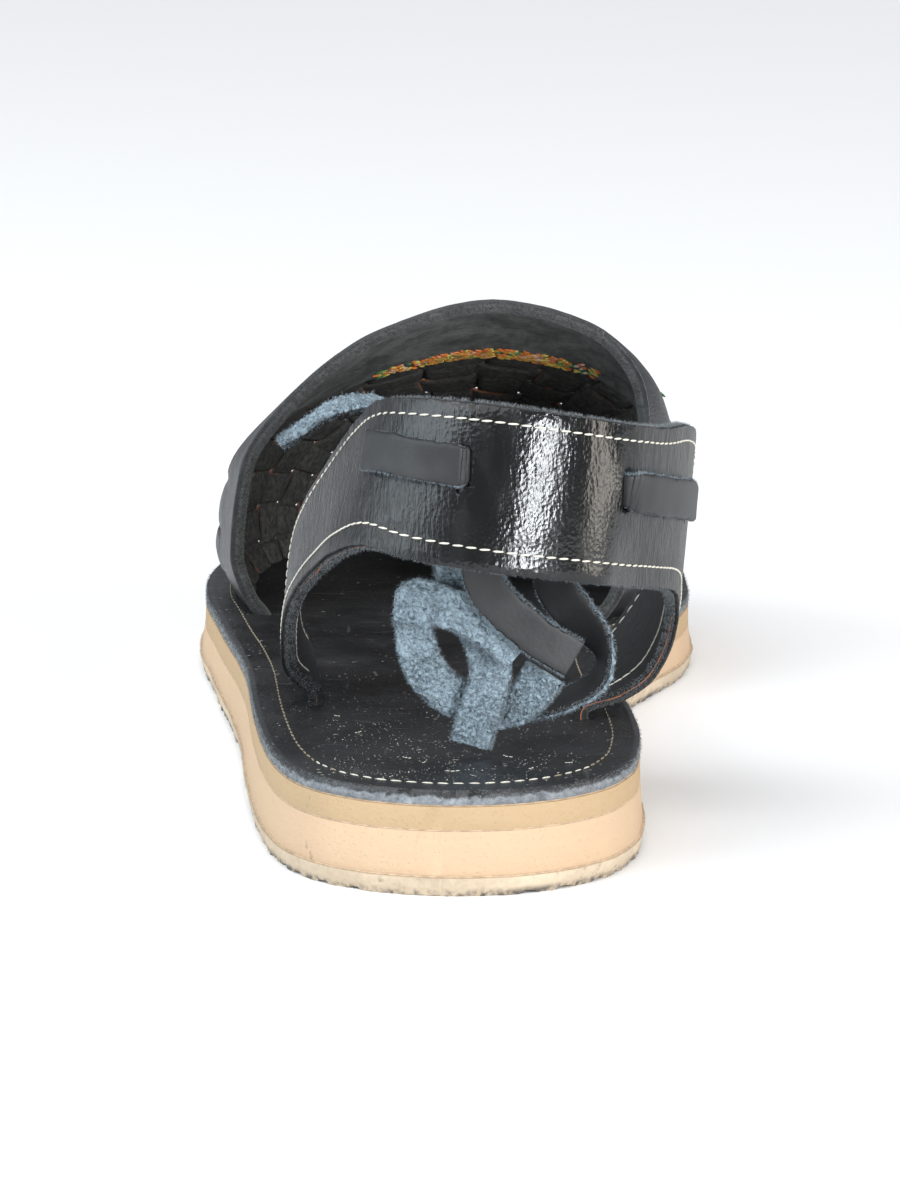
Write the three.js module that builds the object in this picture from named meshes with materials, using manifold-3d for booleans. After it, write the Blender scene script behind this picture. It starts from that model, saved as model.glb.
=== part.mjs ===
// Left huarache sandal: a closed woven vamp, a laced heel strap and a sole of glued layers.
// Millimetres. The heel's back is at y = 0, the toe at +Y, the medial side at +X and up is +Z.

import * as THREE from 'three';
import Module from 'manifold-3d';

const wasm = await Module();
wasm.setup();

// Sole sizes
const shoeLength = 250;
const ballWidth = 93;
const outsoleThickness = 3;
const wedgeAtHeel = 6.9;
const wedgeAtBall = 4.6;
const topFoamThickness = 3.6;
const footbedThickness = 2.4;
const toeSpring = 6;
const outsoleFlange = 1.1;
const footbedSetback = 0.2;

// Vamp sizes
const vampMargin = 10;
const vampHeight = 60.2;
const vampWall = 1.7;
const stripRise = 1;
const yokeRise = 0.9;
const weaveColumns = 16;
const weaveRearRows = 5;
const weaveToeRows = 6;
const weaveGapShare = 0.12;

// Heel strap sizes
const strapHalfSpan = 32;
const strapReach = 94;
const strapHeight = 60;
const strapThickness = 2.4;

// Thong sizes
const thongWidth = 6.4;
const thongThickness = 1.5;
const thongBend = 1.15;
const thongTail = 1.6;

// Clearances
const meetingGap = 0.3;
const slotClearance = 0.4;
const channelClearance = 1.2;

// Half widths of the sole, as shares of the ball width, at shares of the length from the heel
const outlineRows = [
  { along: 0, lateral: 0, medial: 0 },
  { along: 0.0006, lateral: 0.032, medial: 0.0325 },
  { along: 0.0025, lateral: 0.065, medial: 0.0665 },
  { along: 0.01, lateral: 0.13, medial: 0.133 },
  { along: 0.035, lateral: 0.217, medial: 0.231 },
  { along: 0.07, lateral: 0.27, medial: 0.298 },
  { along: 0.12, lateral: 0.305, medial: 0.336 },
  { along: 0.18, lateral: 0.329, medial: 0.346 },
  { along: 0.26, lateral: 0.352, medial: 0.335 },
  { along: 0.35, lateral: 0.372, medial: 0.305 },
  { along: 0.44, lateral: 0.402, medial: 0.295 },
  { along: 0.52, lateral: 0.436, medial: 0.325 },
  { along: 0.6, lateral: 0.468, medial: 0.4 },
  { along: 0.68, lateral: 0.5, medial: 0.475 },
  { along: 0.74, lateral: 0.507, medial: 0.497 },
  { along: 0.8, lateral: 0.488, medial: 0.495 },
  { along: 0.86, lateral: 0.425, medial: 0.467 },
  { along: 0.92, lateral: 0.33, medial: 0.395 },
  { along: 0.965, lateral: 0.205, medial: 0.295 },
  { along: 0.99, lateral: 0.085, medial: 0.185 },
  { along: 0.9975, lateral: 0.0175, medial: 0.1175 },
  { along: 0.9994, lateral: -0.016, medial: 0.084 },
  { along: 1, lateral: -0.05, medial: 0.05 },
];

// Height of the vamp over its seat, as a share of vampHeight, before the toe is rounded off
const vampRows = [
  { along: 0.56, height: 1.08 },
  { along: 0.6, height: 1.05 },
  { along: 0.64, height: 1 },
  { along: 0.7, height: 0.885 },
  { along: 0.76, height: 0.765 },
  { along: 0.82, height: 0.655 },
  { along: 0.88, height: 0.56 },
  { along: 0.94, height: 0.5 },
  { along: 1, height: 0.47 },
];

// Section of the vamp from its lateral foot (-1) over the instep (0) to its medial foot (1)
const sectionRows = [
  { around: -1, rearAcross: -1, rearUp: 0, toeAcross: -1, toeUp: 0 },
  { around: -0.9, rearAcross: -1.15, rearUp: 0.09, toeAcross: -1.06, toeUp: 0.13 },
  { around: -0.8, rearAcross: -1.23, rearUp: 0.21, toeAcross: -1.08, toeUp: 0.28 },
  { around: -0.6, rearAcross: -1.17, rearUp: 0.46, toeAcross: -0.98, toeUp: 0.56 },
  { around: -0.4, rearAcross: -0.85, rearUp: 0.69, toeAcross: -0.74, toeUp: 0.79 },
  { around: -0.2, rearAcross: -0.34, rearUp: 0.895, toeAcross: -0.38, toeUp: 0.94 },
  { around: 0, rearAcross: 0.28, rearUp: 1, toeAcross: 0.06, toeUp: 1 },
  { around: 0.2, rearAcross: 0.85, rearUp: 0.93, toeAcross: 0.48, toeUp: 0.95 },
  { around: 0.4, rearAcross: 1.17, rearUp: 0.73, toeAcross: 0.81, toeUp: 0.81 },
  { around: 0.6, rearAcross: 1.24, rearUp: 0.48, toeAcross: 1.02, toeUp: 0.57 },
  { around: 0.8, rearAcross: 1.2, rearUp: 0.24, toeAcross: 1.09, toeUp: 0.28 },
  { around: 0.9, rearAcross: 1.14, rearUp: 0.115, toeAcross: 1.06, toeUp: 0.13 },
  { around: 1, rearAcross: 1, rearUp: 0, toeAcross: 1, toeUp: 0 },
];

// Where the open rear edge of the vamp stands, and how many rows of smooth leather lie behind it
const toplineRows = [
  { around: -1, along: 0.592, smoothRows: 1 },
  { around: -0.7, along: 0.598, smoothRows: 1 },
  { around: -0.45, along: 0.612, smoothRows: 1 },
  { around: -0.3, along: 0.625, smoothRows: 3 },
  { around: 0, along: 0.64, smoothRows: 3 },
  { around: 0.35, along: 0.635, smoothRows: 3 },
  { around: 0.7, along: 0.615, smoothRows: 4 },
  { around: 1, along: 0.6, smoothRows: 5 },
];
const toeDomeStart = 0.8;
const toeRoundness = 2.3;

// Both edges of the heel strap, from its lateral root round the heel to its medial root.
// Across is a share of strapHalfSpan, forward of strapReach and up of strapHeight.
const strapRows = [
  { lowAcross: -0.68, lowForward: 0.65, lowUp: 0.03, highAcross: -0.76, highForward: 1, highUp: 0.03 },
  { lowAcross: -0.8, lowForward: 0.62, lowUp: 0.1, highAcross: -0.82, highForward: 0.93, highUp: 0.14 },
  { lowAcross: -0.82, lowForward: 0.555, lowUp: 0.18, highAcross: -0.83, highForward: 0.85, highUp: 0.245 },
  { lowAcross: -0.8, lowForward: 0.465, lowUp: 0.31, highAcross: -0.79, highForward: 0.745, highUp: 0.45 },
  { lowAcross: -0.73, lowForward: 0.36, lowUp: 0.415, highAcross: -0.72, highForward: 0.64, highUp: 0.575 },
  { lowAcross: -0.63, lowForward: 0.265, lowUp: 0.5, highAcross: -0.575, highForward: 0.5, highUp: 0.735 },
  { lowAcross: -0.54, lowForward: 0.18, lowUp: 0.56, highAcross: -0.44, highForward: 0.35, highUp: 0.87 },
  { lowAcross: -0.39, lowForward: 0.105, lowUp: 0.605, highAcross: -0.31, highForward: 0.18, highUp: 0.97 },
  { lowAcross: -0.2, lowForward: 0.065, lowUp: 0.59, highAcross: -0.15, highForward: 0.085, highUp: 1 },
  { lowAcross: 0.21, lowForward: 0.043, lowUp: 0.565, highAcross: 0.21, highForward: 0.032, highUp: 1 },
  { lowAcross: 0.59, lowForward: 0.085, lowUp: 0.535, highAcross: 0.585, highForward: 0.058, highUp: 0.97 },
  { lowAcross: 0.83, lowForward: 0.17, lowUp: 0.5, highAcross: 0.83, highForward: 0.13, highUp: 0.935 },
  { lowAcross: 1.0, lowForward: 0.29, lowUp: 0.46, highAcross: 1.03, highForward: 0.26, highUp: 0.895 },
  { lowAcross: 1.12, lowForward: 0.42, lowUp: 0.41, highAcross: 1.17, highForward: 0.44, highUp: 0.86 },
  { lowAcross: 1.15, lowForward: 0.52, lowUp: 0.335, highAcross: 1.23, highForward: 0.65, highUp: 0.77 },
  { lowAcross: 1.15, lowForward: 0.56, lowUp: 0.27, highAcross: 1.22, highForward: 0.76, highUp: 0.627 },
  { lowAcross: 1.12, lowForward: 0.58, lowUp: 0.195, highAcross: 1.17, highForward: 0.83, highUp: 0.445 },
  { lowAcross: 1.04, lowForward: 0.59, lowUp: 0.115, highAcross: 1.05, highForward: 0.87, highUp: 0.28 },
  { lowAcross: 0.9, lowForward: 0.58, lowUp: 0.065, highAcross: 0.91, highForward: 0.89, highUp: 0.15 },
  { lowAcross: 0.71, lowForward: 0.565, lowUp: 0.03, highAcross: 0.77, highForward: 0.9, highUp: 0.03 },
];

// Slots of the heel strap, as shares of its length and of its width, in the order of the lacing
const laceSlots = {
  lateralFront: { along: 0.389, up: 0.645 },
  lateralBack: { along: 0.47, up: 0.625 },
  medialBack: { along: 0.597, up: 0.6 },
  medialFront: { along: 0.74, up: 0.55 },
};

// Routes of the free thongs: middle of the strip, the way its flat side faces, and its spread
const freeThongs = {
  lace_end_front: [
    { at: [-7.3, 15.0, 66.9], face: [0.48, -0.86, 0.18] },
    { at: [-5.2, 16.5, 66.5], face: [0.85, -0.5, 0.1] },
    { at: [-4.9, 20.3, 66.4], face: [1, 0, 0.1] },
    { at: [-6.0, 26.0, 68.0], face: [0.8, 0.3, 0.4] },
    { at: [-9.0, 31.4, 70.7], face: [0.5, 0.2, 0.8] },
    { at: [-13.4, 34.8, 71.9], face: [0.05, -0.2, 0.95] },
    { at: [-18.8, 36.2, 70.7], face: [-0.25, -0.3, 0.9] },
    { at: [-24.6, 36.8, 66.6], face: [-0.5, -0.25, 0.8], spread: 0.85 },
    { at: [-27.4, 36.9, 64.6], face: [-0.5, -0.25, 0.8], spread: 0.4 },
  ],
  lace_end_smooth: [
    { at: [2.9, 7.8, 67.2], face: [0.99, -0.1, 0] },
    { at: [3.0, 10.5, 66.5], face: [0.9, -0.3, -0.3] },
    { at: [3.2, 13.8, 64.0], face: [0.6, -0.6, -0.5] },
    { at: [3.6, 16.6, 60.0], face: [0.25, -0.9, -0.3] },
    { at: [4.1, 18.3, 55.0], face: [0, -1, -0.25] },
    { at: [4.9, 19.2, 50.0], face: [0, -1, -0.15] },
    { at: [6.2, 19.8, 45.3], face: [-0.1, -1, -0.1] },
    { at: [9.7, 20.3, 41.0], face: [0, -1, 0.1] },
    { at: [14.6, 20.7, 37.0], face: [0, -1, 0.1] },
    { at: [20.3, 21.4, 33.6], face: [0.1, -1, 0.1] },
  ],
  lace_loop_left: [
    { at: [11.6, 22.9, 34.0], face: [0, -1, 0.1] },
    { at: [8.1, 22.9, 37.2], face: [0, -1, 0.1] },
    { at: [3.6, 23.0, 39.8], face: [0, -1, 0.1] },
    { at: [-0.9, 23.2, 41.4], face: [0, -1, 0.1] },
    { at: [-4.9, 24.6, 41.6], face: [-0.3, -1, 0.2], turn: 45, spread: 1.3 },
    { at: [-5.1, 27.0, 37.0], face: [-0.3, -1, 0] },
    { at: [-4.4, 28.2, 32.6], face: [-0.2, -1, 0] },
    { at: [-2.6, 28.8, 28.8], face: [-0.1, -1, 0] },
    { at: [0.4, 29.1, 26.1], face: [0, -1, 0] },
    { at: [4.5, 29.3, 24.1], face: [0, -1, 0] },
    { at: [8.9, 29.2, 23.6], face: [0, -1, 0] },
    { at: [12.2, 28.4, 25.1], face: [0, -1, 0.1] },
    { at: [14.6, 27.2, 27.8], face: [0, -1, 0.2] },
    { at: [16.0, 26.4, 30.3], face: [0, -1, 0.2] },
  ],
  lace_end_down: [
    { at: [0.6, 21.9, 58.0], face: [0, -1, -0.2] },
    { at: [0.6, 22.9, 53.5], face: [0, -1, -0.25] },
    { at: [0.8, 24.8, 49.0], face: [0, -1, -0.3] },
    { at: [1.4, 25.9, 44.5], face: [0, -1, -0.2] },
    { at: [3.4, 26.6, 40.0], face: [0, -1, -0.1] },
    { at: [5.9, 26.8, 35.5], face: [0, -1, 0] },
    { at: [7.2, 26.8, 30.5], face: [0, -1, 0] },
    { at: [6.4, 26.6, 26.0], face: [0, -1, 0] },
    { at: [5.2, 26.9, 21.9], face: [0, -1, 0] },
    { at: [4.2, 26.9, 18.1], face: [0, -1, 0] },
  ],
  lace_loop_right: [
    { at: [21.6, 16.0, 62.9], face: [0.53, 0.84, 0.12] },
    { at: [20.9, 18.6, 62.2], face: [0.7, 0.7, 0] },
    { at: [19.9, 22.4, 59.0], face: [0.8, 0.5, -0.2] },
    { at: [18.8, 26.4, 54.0], face: [0.6, 0.75, -0.2] },
    { at: [18.0, 29.6, 48.6], face: [0.4, 0.9, -0.15] },
    { at: [18.7, 31.4, 43.4], face: [0.35, 0.92, -0.1] },
    { at: [21.4, 32.4, 39.0], face: [0.4, 0.9, 0] },
    { at: [24.2, 33.0, 34.9], face: [0.7, 0.7, 0] },
    { at: [25.6, 33.4, 31.0], face: [0.95, 0.3, -0.1] },
    { at: [24.4, 33.6, 27.4], face: [0.75, 0.3, -0.6] },
    { at: [20.2, 33.6, 24.6], face: [0.3, 0.3, -0.9] },
    { at: [15.0, 33.6, 23.0], face: [0.25, 0.3, -0.92] },
    { at: [10.6, 33.6, 22.2], face: [0.3, 0.2, -0.95] },
  ],
};

const colours = {
  rubber: 0xcfc4a6,
  lightFoam: 0xecc48e,
  tanFoam: 0xc9954f,
  footbed: 0x1c1c1e,
  vamp: 0x26282a,
  strap: 0x17181a,
  thong: 0x2e3236,
  suede: 0x4a5862,
};

function mix(from, to, share) {
  return from + (to - from) * share;
}

function smoothStep(from, to, value) {
  const share = THREE.MathUtils.clamp((value - from) / (to - from), 0, 1);
  return share * share * (3 - 2 * share);
}

// Slope at one row of a table, limited so that the curve adds no bump between rows
function rowSlope(rows, key, column, index) {
  const secant = (k) => (rows[k + 1][column] - rows[k][column]) / (rows[k + 1][key] - rows[k][key]);
  if (index === 0) {
    return secant(0);
  }
  if (index === rows.length - 1) {
    return secant(index - 1);
  }
  const before = secant(index - 1);
  const after = secant(index);
  return before * after <= 0 ? 0 : (2 * before * after) / (before + after);
}

function readTable(rows, key, column, at) {
  const last = rows.length - 1;
  const place = THREE.MathUtils.clamp(at, rows[0][key], rows[last][key]);
  let index = 0;
  while (index < last - 1 && place > rows[index + 1][key]) {
    index += 1;
  }
  const span = rows[index + 1][key] - rows[index][key];
  const t = (place - rows[index][key]) / span;
  const startSlope = rowSlope(rows, key, column, index) * span;
  const endSlope = rowSlope(rows, key, column, index + 1) * span;
  const a = rows[index][column];
  const b = rows[index + 1][column];
  const cubic = 2 * a - 2 * b + startSlope + endSlope;
  const square = 3 * b - 3 * a - 2 * startSlope - endSlope;
  return ((cubic * t + square) * t + startSlope) * t + a;
}

// Heights of the sole's layers at a distance from the heel
function layerHeights(y) {
  const springShare = Math.max(0, (y / shoeLength - 0.74) / 0.26);
  const ground = toeSpring * springShare * springShare;
  const wedge = mix(wedgeAtHeel, wedgeAtBall, smoothStep(0.25, 0.65, y / shoeLength));
  const outsoleTop = ground + outsoleThickness;
  const wedgeBottom = outsoleTop + meetingGap;
  const wedgeTop = wedgeBottom + wedge;
  const foamBottom = wedgeTop + meetingGap;
  const foamTop = foamBottom + topFoamThickness;
  const footbedBottom = foamTop + meetingGap;
  const footbedTop = footbedBottom + footbedThickness;
  return { ground, outsoleTop, wedgeBottom, wedgeTop, foamBottom, foamTop, footbedBottom, footbedTop };
}

// The sole's outline moved inward by inset, as one run of points per side from heel to toe
function soleOutline(inset, steps = 40) {
  const ring = [];
  for (let i = 0; i <= steps; i += 1) {
    const along = (1 - Math.cos((Math.PI * i) / steps)) / 2;
    const x = readTable(outlineRows, 'along', 'medial', along) * ballWidth;
    ring.push(new THREE.Vector2(x, along * shoeLength));
  }
  for (let i = steps - 1; i > 0; i -= 1) {
    const along = (1 - Math.cos((Math.PI * i) / steps)) / 2;
    const x = -readTable(outlineRows, 'along', 'lateral', along) * ballWidth;
    ring.push(new THREE.Vector2(x, along * shoeLength));
  }
  const count = ring.length;
  const moved = ring.map((point, i) => {
    const before = ring[(i + count - 1) % count];
    const after = ring[(i + 1) % count];
    const way = after.clone().sub(before).normalize();
    return new THREE.Vector2(point.x - way.y * inset, point.y + way.x * inset);
  });
  const medial = moved.slice(0, steps + 1);
  const lateral = [moved[0], ...moved.slice(steps).reverse()];
  return { medial, lateral };
}

function bodyFrom(points, triangles) {
  const geometry = new THREE.BufferGeometry();
  geometry.setAttribute('position', new THREE.Float32BufferAttribute(points.flat(), 3));
  geometry.setIndex(triangles.flat());
  return geometry;
}

// A layer of the sole: level outlines from the bottom up, each with its inset and its height
function soleLayer(levels) {
  const points = [];
  const triangles = [];
  const rings = levels.map((level) => {
    const { medial, lateral } = soleOutline(level.inset);
    const add = (p) => points.push([p.x, p.y, level.height(p.y)]) - 1;
    const medialIds = medial.map(add);
    const inner = lateral.slice(1, -1).map(add);
    return { medial: medialIds, lateral: [medialIds[0], ...inner, medialIds[medialIds.length - 1]] };
  });
  const quad = (a, b, c, d) => {
    triangles.push([a, b, c]);
    triangles.push([a, c, d]);
  };
  for (let k = 0; k < rings.length - 1; k += 1) {
    const low = rings[k];
    const high = rings[k + 1];
    for (let i = 0; i < low.medial.length - 1; i += 1) {
      quad(low.medial[i], low.medial[i + 1], high.medial[i + 1], high.medial[i]);
      quad(low.lateral[i + 1], low.lateral[i], high.lateral[i], high.lateral[i + 1]);
    }
  }
  const cap = (ring, up) => {
    const last = ring.medial.length - 1;
    for (let i = 0; i < last; i += 1) {
      const corners = [ring.lateral[i], ring.medial[i], ring.medial[i + 1], ring.lateral[i + 1]];
      const face = up ? corners : corners.reverse();
      const kept = face.filter((id, place) => id !== face[(place + 1) % 4]);
      triangles.push([kept[0], kept[1], kept[2]]);
      if (kept.length === 4) {
        triangles.push([kept[0], kept[2], kept[3]]);
      }
    }
  };
  cap(rings[0], false);
  cap(rings[rings.length - 1], true);
  return bodyFrom(points, triangles);
}

function solidFrom(geometry) {
  const mesh = new wasm.Mesh({
    numProp: 3,
    vertProperties: new Float32Array(geometry.attributes.position.array),
    triVerts: new Uint32Array(geometry.index.array),
  });
  return new wasm.Manifold(mesh);
}

function geometryFrom(solid) {
  const mesh = solid.getMesh();
  const points = [];
  for (let i = 0; i < mesh.vertProperties.length; i += mesh.numProp) {
    points.push([...mesh.vertProperties.slice(i, i + 3)]);
  }
  return bodyFrom(points, [Array.from(mesh.triVerts)]);
}

// The vamp's seat on the footbed: the sole's outline moved in by the margin
const seat = soleOutline(vampMargin);
const seatTip = seat.medial[seat.medial.length - 1];

function seatEdge(side, y) {
  const run = seat[side];
  let index = 0;
  while (index < run.length - 2 && y > run[index + 1].y) {
    index += 1;
  }
  const share = THREE.MathUtils.clamp((y - run[index].y) / (run[index + 1].y - run[index].y), 0, 1);
  return mix(run[index].x, run[index + 1].x, share);
}

function domeShare(y) {
  const start = toeDomeStart * shoeLength;
  return THREE.MathUtils.clamp((y - start) / (seatTip.y - start), 0, 1);
}

// A point of the vamp's outside at a place around its section and a distance from the heel
function sectionPoint(around, y) {
  const toeward = smoothStep(0.64, 0.86, y / shoeLength);
  const read = (column) => readTable(sectionRows, 'around', column, around);
  const across = mix(read('rearAcross'), read('toeAcross'), toeward);
  const up = mix(read('rearUp'), read('toeUp'), toeward);
  const left = seatEdge('lateral', y);
  const right = seatEdge('medial', y);
  const round = (1 - domeShare(y) ** toeRoundness) ** (1 / toeRoundness);
  const height = vampHeight * readTable(vampRows, 'along', 'height', y / shoeLength) * round;
  const x = (left + right) / 2 + (across * (right - left)) / 2;
  return new THREE.Vector3(x, y, layerHeights(y).footbedBottom + up * height);
}

// The vamp is laid out on a square chart: around is -1 to 1, and ahead is -1 at the rear edge,
// 0 where the toe's dome starts and 1 at the toe. The square's front side bends round the toe.
function chartPlace(around, ahead) {
  const start = toeDomeStart * shoeLength;
  if (ahead <= 0) {
    const edge = readTable(toplineRows, 'around', 'along', around) * shoeLength;
    return { section: around, y: start + ahead * (start - edge) };
  }
  const side = around * Math.sqrt(1 - (ahead * ahead) / 2);
  const front = ahead * Math.sqrt(1 - (around * around) / 2);
  const radius = Math.min(1, Math.hypot(side, front));
  const reach = Math.sin((radius * Math.PI) / 2) / Math.max(radius, 1e-6);
  const forward = Math.min(1, front * reach);
  const width = Math.sqrt(Math.max(0, 1 - forward * forward));
  const share = width < 1e-4 ? 0 : THREE.MathUtils.clamp((side * reach) / width, -1, 1);
  return { section: Math.asin(share) / (Math.PI / 2), y: start + forward * (seatTip.y - start) };
}

function vampPoint(around, ahead) {
  const { section, y } = chartPlace(around, ahead);
  return sectionPoint(section, y);
}

// Outward direction of the vamp, read a little inside its foot and its tip
function vampNormal(around, ahead) {
  const step = 0.02;
  const place = chartPlace(around, ahead);
  const a = THREE.MathUtils.clamp(place.section, -0.96, 0.96);
  const y = Math.min(place.y, seatTip.y - 0.8);
  const across = sectionPoint(a + step, y).sub(sectionPoint(a - step, y));
  const along = sectionPoint(a, y + 0.5).sub(sectionPoint(a, y - 0.5));
  return across.cross(along).normalize();
}

// Chart lines of the weave: both borders, and two or three lines in each cell
function weaveLines(cells, shares) {
  const lines = [0];
  for (let cell = 0; cell < cells; cell += 1) {
    shares.forEach((share) => lines.push(cell + share));
  }
  return [...lines, cells];
}

function chartAround(column) {
  return -1 + (2 * column) / weaveColumns;
}

function chartAhead(row) {
  return row <= weaveRearRows ? row / weaveRearRows - 1 : (row - weaveRearRows) / weaveToeRows;
}

function isSmooth(column, row) {
  const around = chartAround(column + 0.5);
  return row < readTable(toplineRows, 'around', 'smoothRows', around) - 0.4;
}

// How far the outside stands out at a chart place: strips rise where they pass over
function reliefAt(column, row) {
  const rows = weaveRearRows + weaveToeRows;
  const edge = 1.5 * weaveGapShare;
  if (column < edge || column > weaveColumns - edge || row > rows - edge) {
    return 0;
  }
  const cellColumn = Math.min(Math.floor(column), weaveColumns - 1);
  const cellRow = Math.min(Math.floor(row), rows - 1);
  const atFoot = cellColumn === 0 || cellColumn === weaveColumns - 1 || cellRow === rows - 1;
  const calm = atFoot && Math.min(column, weaveColumns - column, rows - row) < 0.6 ? 0.25 : 1;
  if (isSmooth(cellColumn, cellRow)) {
    return yokeRise * calm;
  }
  const lengthwiseOver = (cellColumn + cellRow) % 2 === 0;
  const along = lengthwiseOver ? row - cellRow : column - cellColumn;
  return Math.abs(along - 0.5) < 0.25 ? stripRise * calm : 0;
}

// Joins two runs of points that end level, each point listed with its place along the run
function zipRuns(outer, inner, triangles) {
  let i = 0;
  let k = 0;
  while (i < outer.length - 1 || k < inner.length - 1) {
    const outerNext = i < outer.length - 1 ? outer[i + 1].place : Infinity;
    const innerNext = k < inner.length - 1 ? inner[k + 1].place : Infinity;
    if (innerNext <= outerNext) {
      triangles.push([outer[i].id, inner[k + 1].id, inner[k].id]);
      k += 1;
    } else {
      triangles.push([outer[i].id, outer[i + 1].id, inner[k].id]);
      i += 1;
    }
  }
}

function vampBody() {
  const rows = weaveRearRows + weaveToeRows;
  const gap = weaveGapShare;
  const points = [];
  const triangles = [];
  const skin = (columns, places, depth) => columns.map((column) => places.map((row) => {
    const around = chartAround(column);
    const ahead = chartAhead(row);
    const rise = depth(column, row);
    const point = vampPoint(around, ahead).addScaledVector(vampNormal(around, ahead), rise);
    return points.push(point.toArray()) - 1;
  }));
  const outerColumns = weaveLines(weaveColumns, [gap, 0.5, 1 - gap]);
  const outerRows = weaveLines(rows, [gap, 0.5, 1 - gap]);
  const innerColumns = weaveLines(weaveColumns, [gap, 1 - gap]);
  const innerRows = weaveLines(rows, [gap, 1 - gap]);
  const outer = skin(outerColumns, outerRows, reliefAt);
  const inner = skin(innerColumns, innerRows, () => -vampWall);
  const isHole = (column, row) => {
    const inside = column > 0.5 && column < weaveColumns - 0.5 && row > 0.5 && row < rows - 0.5;
    const crossing = Math.abs(column - Math.round(column)) < 0.01 && Math.abs(row - Math.round(row)) < 0.01;
    if (!inside || !crossing) {
      return false;
    }
    const c = Math.round(column);
    const r = Math.round(row);
    return !isSmooth(c - 1, r - 1) && !isSmooth(c, r - 1) && !isSmooth(c - 1, r) && !isSmooth(c, r);
  };
  const fill = (ids, columns, places, outward) => {
    for (let i = 0; i < columns.length - 1; i += 1) {
      for (let j = 0; j < places.length - 1; j += 1) {
        if (isHole((columns[i] + columns[i + 1]) / 2, (places[j] + places[j + 1]) / 2)) {
          continue;
        }
        const corners = [ids[i][j], ids[i + 1][j], ids[i + 1][j + 1], ids[i][j + 1]];
        const [a, b, c, d] = outward ? corners : corners.reverse();
        triangles.push([a, b, c]);
        triangles.push([a, c, d]);
      }
    }
  };
  fill(outer, outerColumns, outerRows, true);
  fill(inner, innerColumns, innerRows, false);
  for (let c = 1; c < weaveColumns; c += 1) {
    for (let r = 1; r < rows; r += 1) {
      if (!isHole(c, r)) {
        continue;
      }
      const o = [[3 * c, 3 * r], [3 * c + 1, 3 * r], [3 * c + 1, 3 * r + 1], [3 * c, 3 * r + 1]];
      const n = [[2 * c, 2 * r], [2 * c + 1, 2 * r], [2 * c + 1, 2 * r + 1], [2 * c, 2 * r + 1]];
      for (let k = 0; k < 4; k += 1) {
        const next = (k + 1) % 4;
        const a = outer[o[k][0]][o[k][1]];
        const b = outer[o[next][0]][o[next][1]];
        const c2 = inner[n[next][0]][n[next][1]];
        const d = inner[n[k][0]][n[k][1]];
        triangles.push([a, b, c2]);
        triangles.push([a, c2, d]);
      }
    }
  }
  const endColumn = outerColumns.length - 1;
  const endRow = outerRows.length - 1;
  const innerEndColumn = innerColumns.length - 1;
  const innerEndRow = innerRows.length - 1;
  const alongRows = (ids, column, places) => places.map((place, j) => ({ id: ids[column][j], place }));
  const alongColumns = (ids, row, columns) => columns.map((place, i) => ({ id: ids[i][row], place }));
  const backward = (run) => run.map(({ id, place }) => ({ id, place: -place })).reverse();
  zipRuns(alongRows(outer, 0, outerRows), alongRows(inner, 0, innerRows), triangles);
  zipRuns(alongColumns(outer, endRow, outerColumns), alongColumns(inner, innerEndRow, innerColumns), triangles);
  zipRuns(
    backward(alongRows(outer, endColumn, outerRows)),
    backward(alongRows(inner, innerEndColumn, innerRows)),
    triangles,
  );
  zipRuns(
    backward(alongColumns(outer, 0, outerColumns)),
    backward(alongColumns(inner, 0, innerColumns)),
    triangles,
  );
  return bodyFrom(points, triangles);
}

// A closed body through rings of points, with flat ends
function ringBody(rings) {
  const sides = rings[0].length;
  const points = rings.flat().map((point) => point.toArray());
  const triangles = [];
  for (let k = 0; k < rings.length - 1; k += 1) {
    for (let i = 0; i < sides; i += 1) {
      const a = k * sides + i;
      const b = k * sides + ((i + 1) % sides);
      triangles.push([a, b, b + sides]);
      triangles.push([a, b + sides, a + sides]);
    }
  }
  const end = (rings.length - 1) * sides;
  for (let i = 1; i < sides - 1; i += 1) {
    triangles.push([0, i + 1, i]);
    triangles.push([end, end + i, end + i + 1]);
  }
  return bodyFrom(points, triangles);
}

// The channel in the footbed that the vamp's foot passes through
function vampChannel() {
  const shares = [weaveGapShare, 1 - weaveGapShare];
  const rows = weaveLines(weaveRearRows + weaveToeRows, shares).map(chartAhead);
  const columns = weaveLines(weaveColumns, shares).map(chartAround);
  const border = [
    ...[-1.1, ...rows].map((ahead) => [-1, ahead]),
    ...columns.slice(1, -1).map((around) => [around, 1]),
    ...[...rows].reverse().concat(-1.1).map((ahead) => [1, ahead]),
  ];
  const feet = border.map(([around, ahead]) => vampPoint(around, ahead));
  const rings = border.map(([around, ahead], i) => {
    const out = vampNormal(around, ahead);
    const before = feet[Math.max(0, i - 1)];
    const after = feet[Math.min(feet.length - 1, i + 1)];
    const climb = after.clone().sub(before).normalize().cross(out).normalize();
    climb.divideScalar(climb.z);
    const corner = (up, depth) => feet[i].clone().addScaledVector(climb, up).addScaledVector(out, depth);
    const top = footbedThickness + 2 * meetingGap + vampWall;
    const below = meetingGap + vampWall;
    return [
      corner(-below, channelClearance),
      corner(top, channelClearance),
      corner(top, -vampWall - channelClearance),
      corner(-below, -vampWall - channelClearance),
    ];
  });
  return solidFrom(ringBody(rings));
}

// One edge of the strap as a point, for a row of its table
function strapEdge(row, edge) {
  const forward = row[`${edge}Forward`] * strapReach;
  const up = layerHeights(forward).footbedTop + row[`${edge}Up`] * strapHeight;
  return new THREE.Vector3(row[`${edge}Across`] * strapHalfSpan, forward, up);
}

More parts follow.
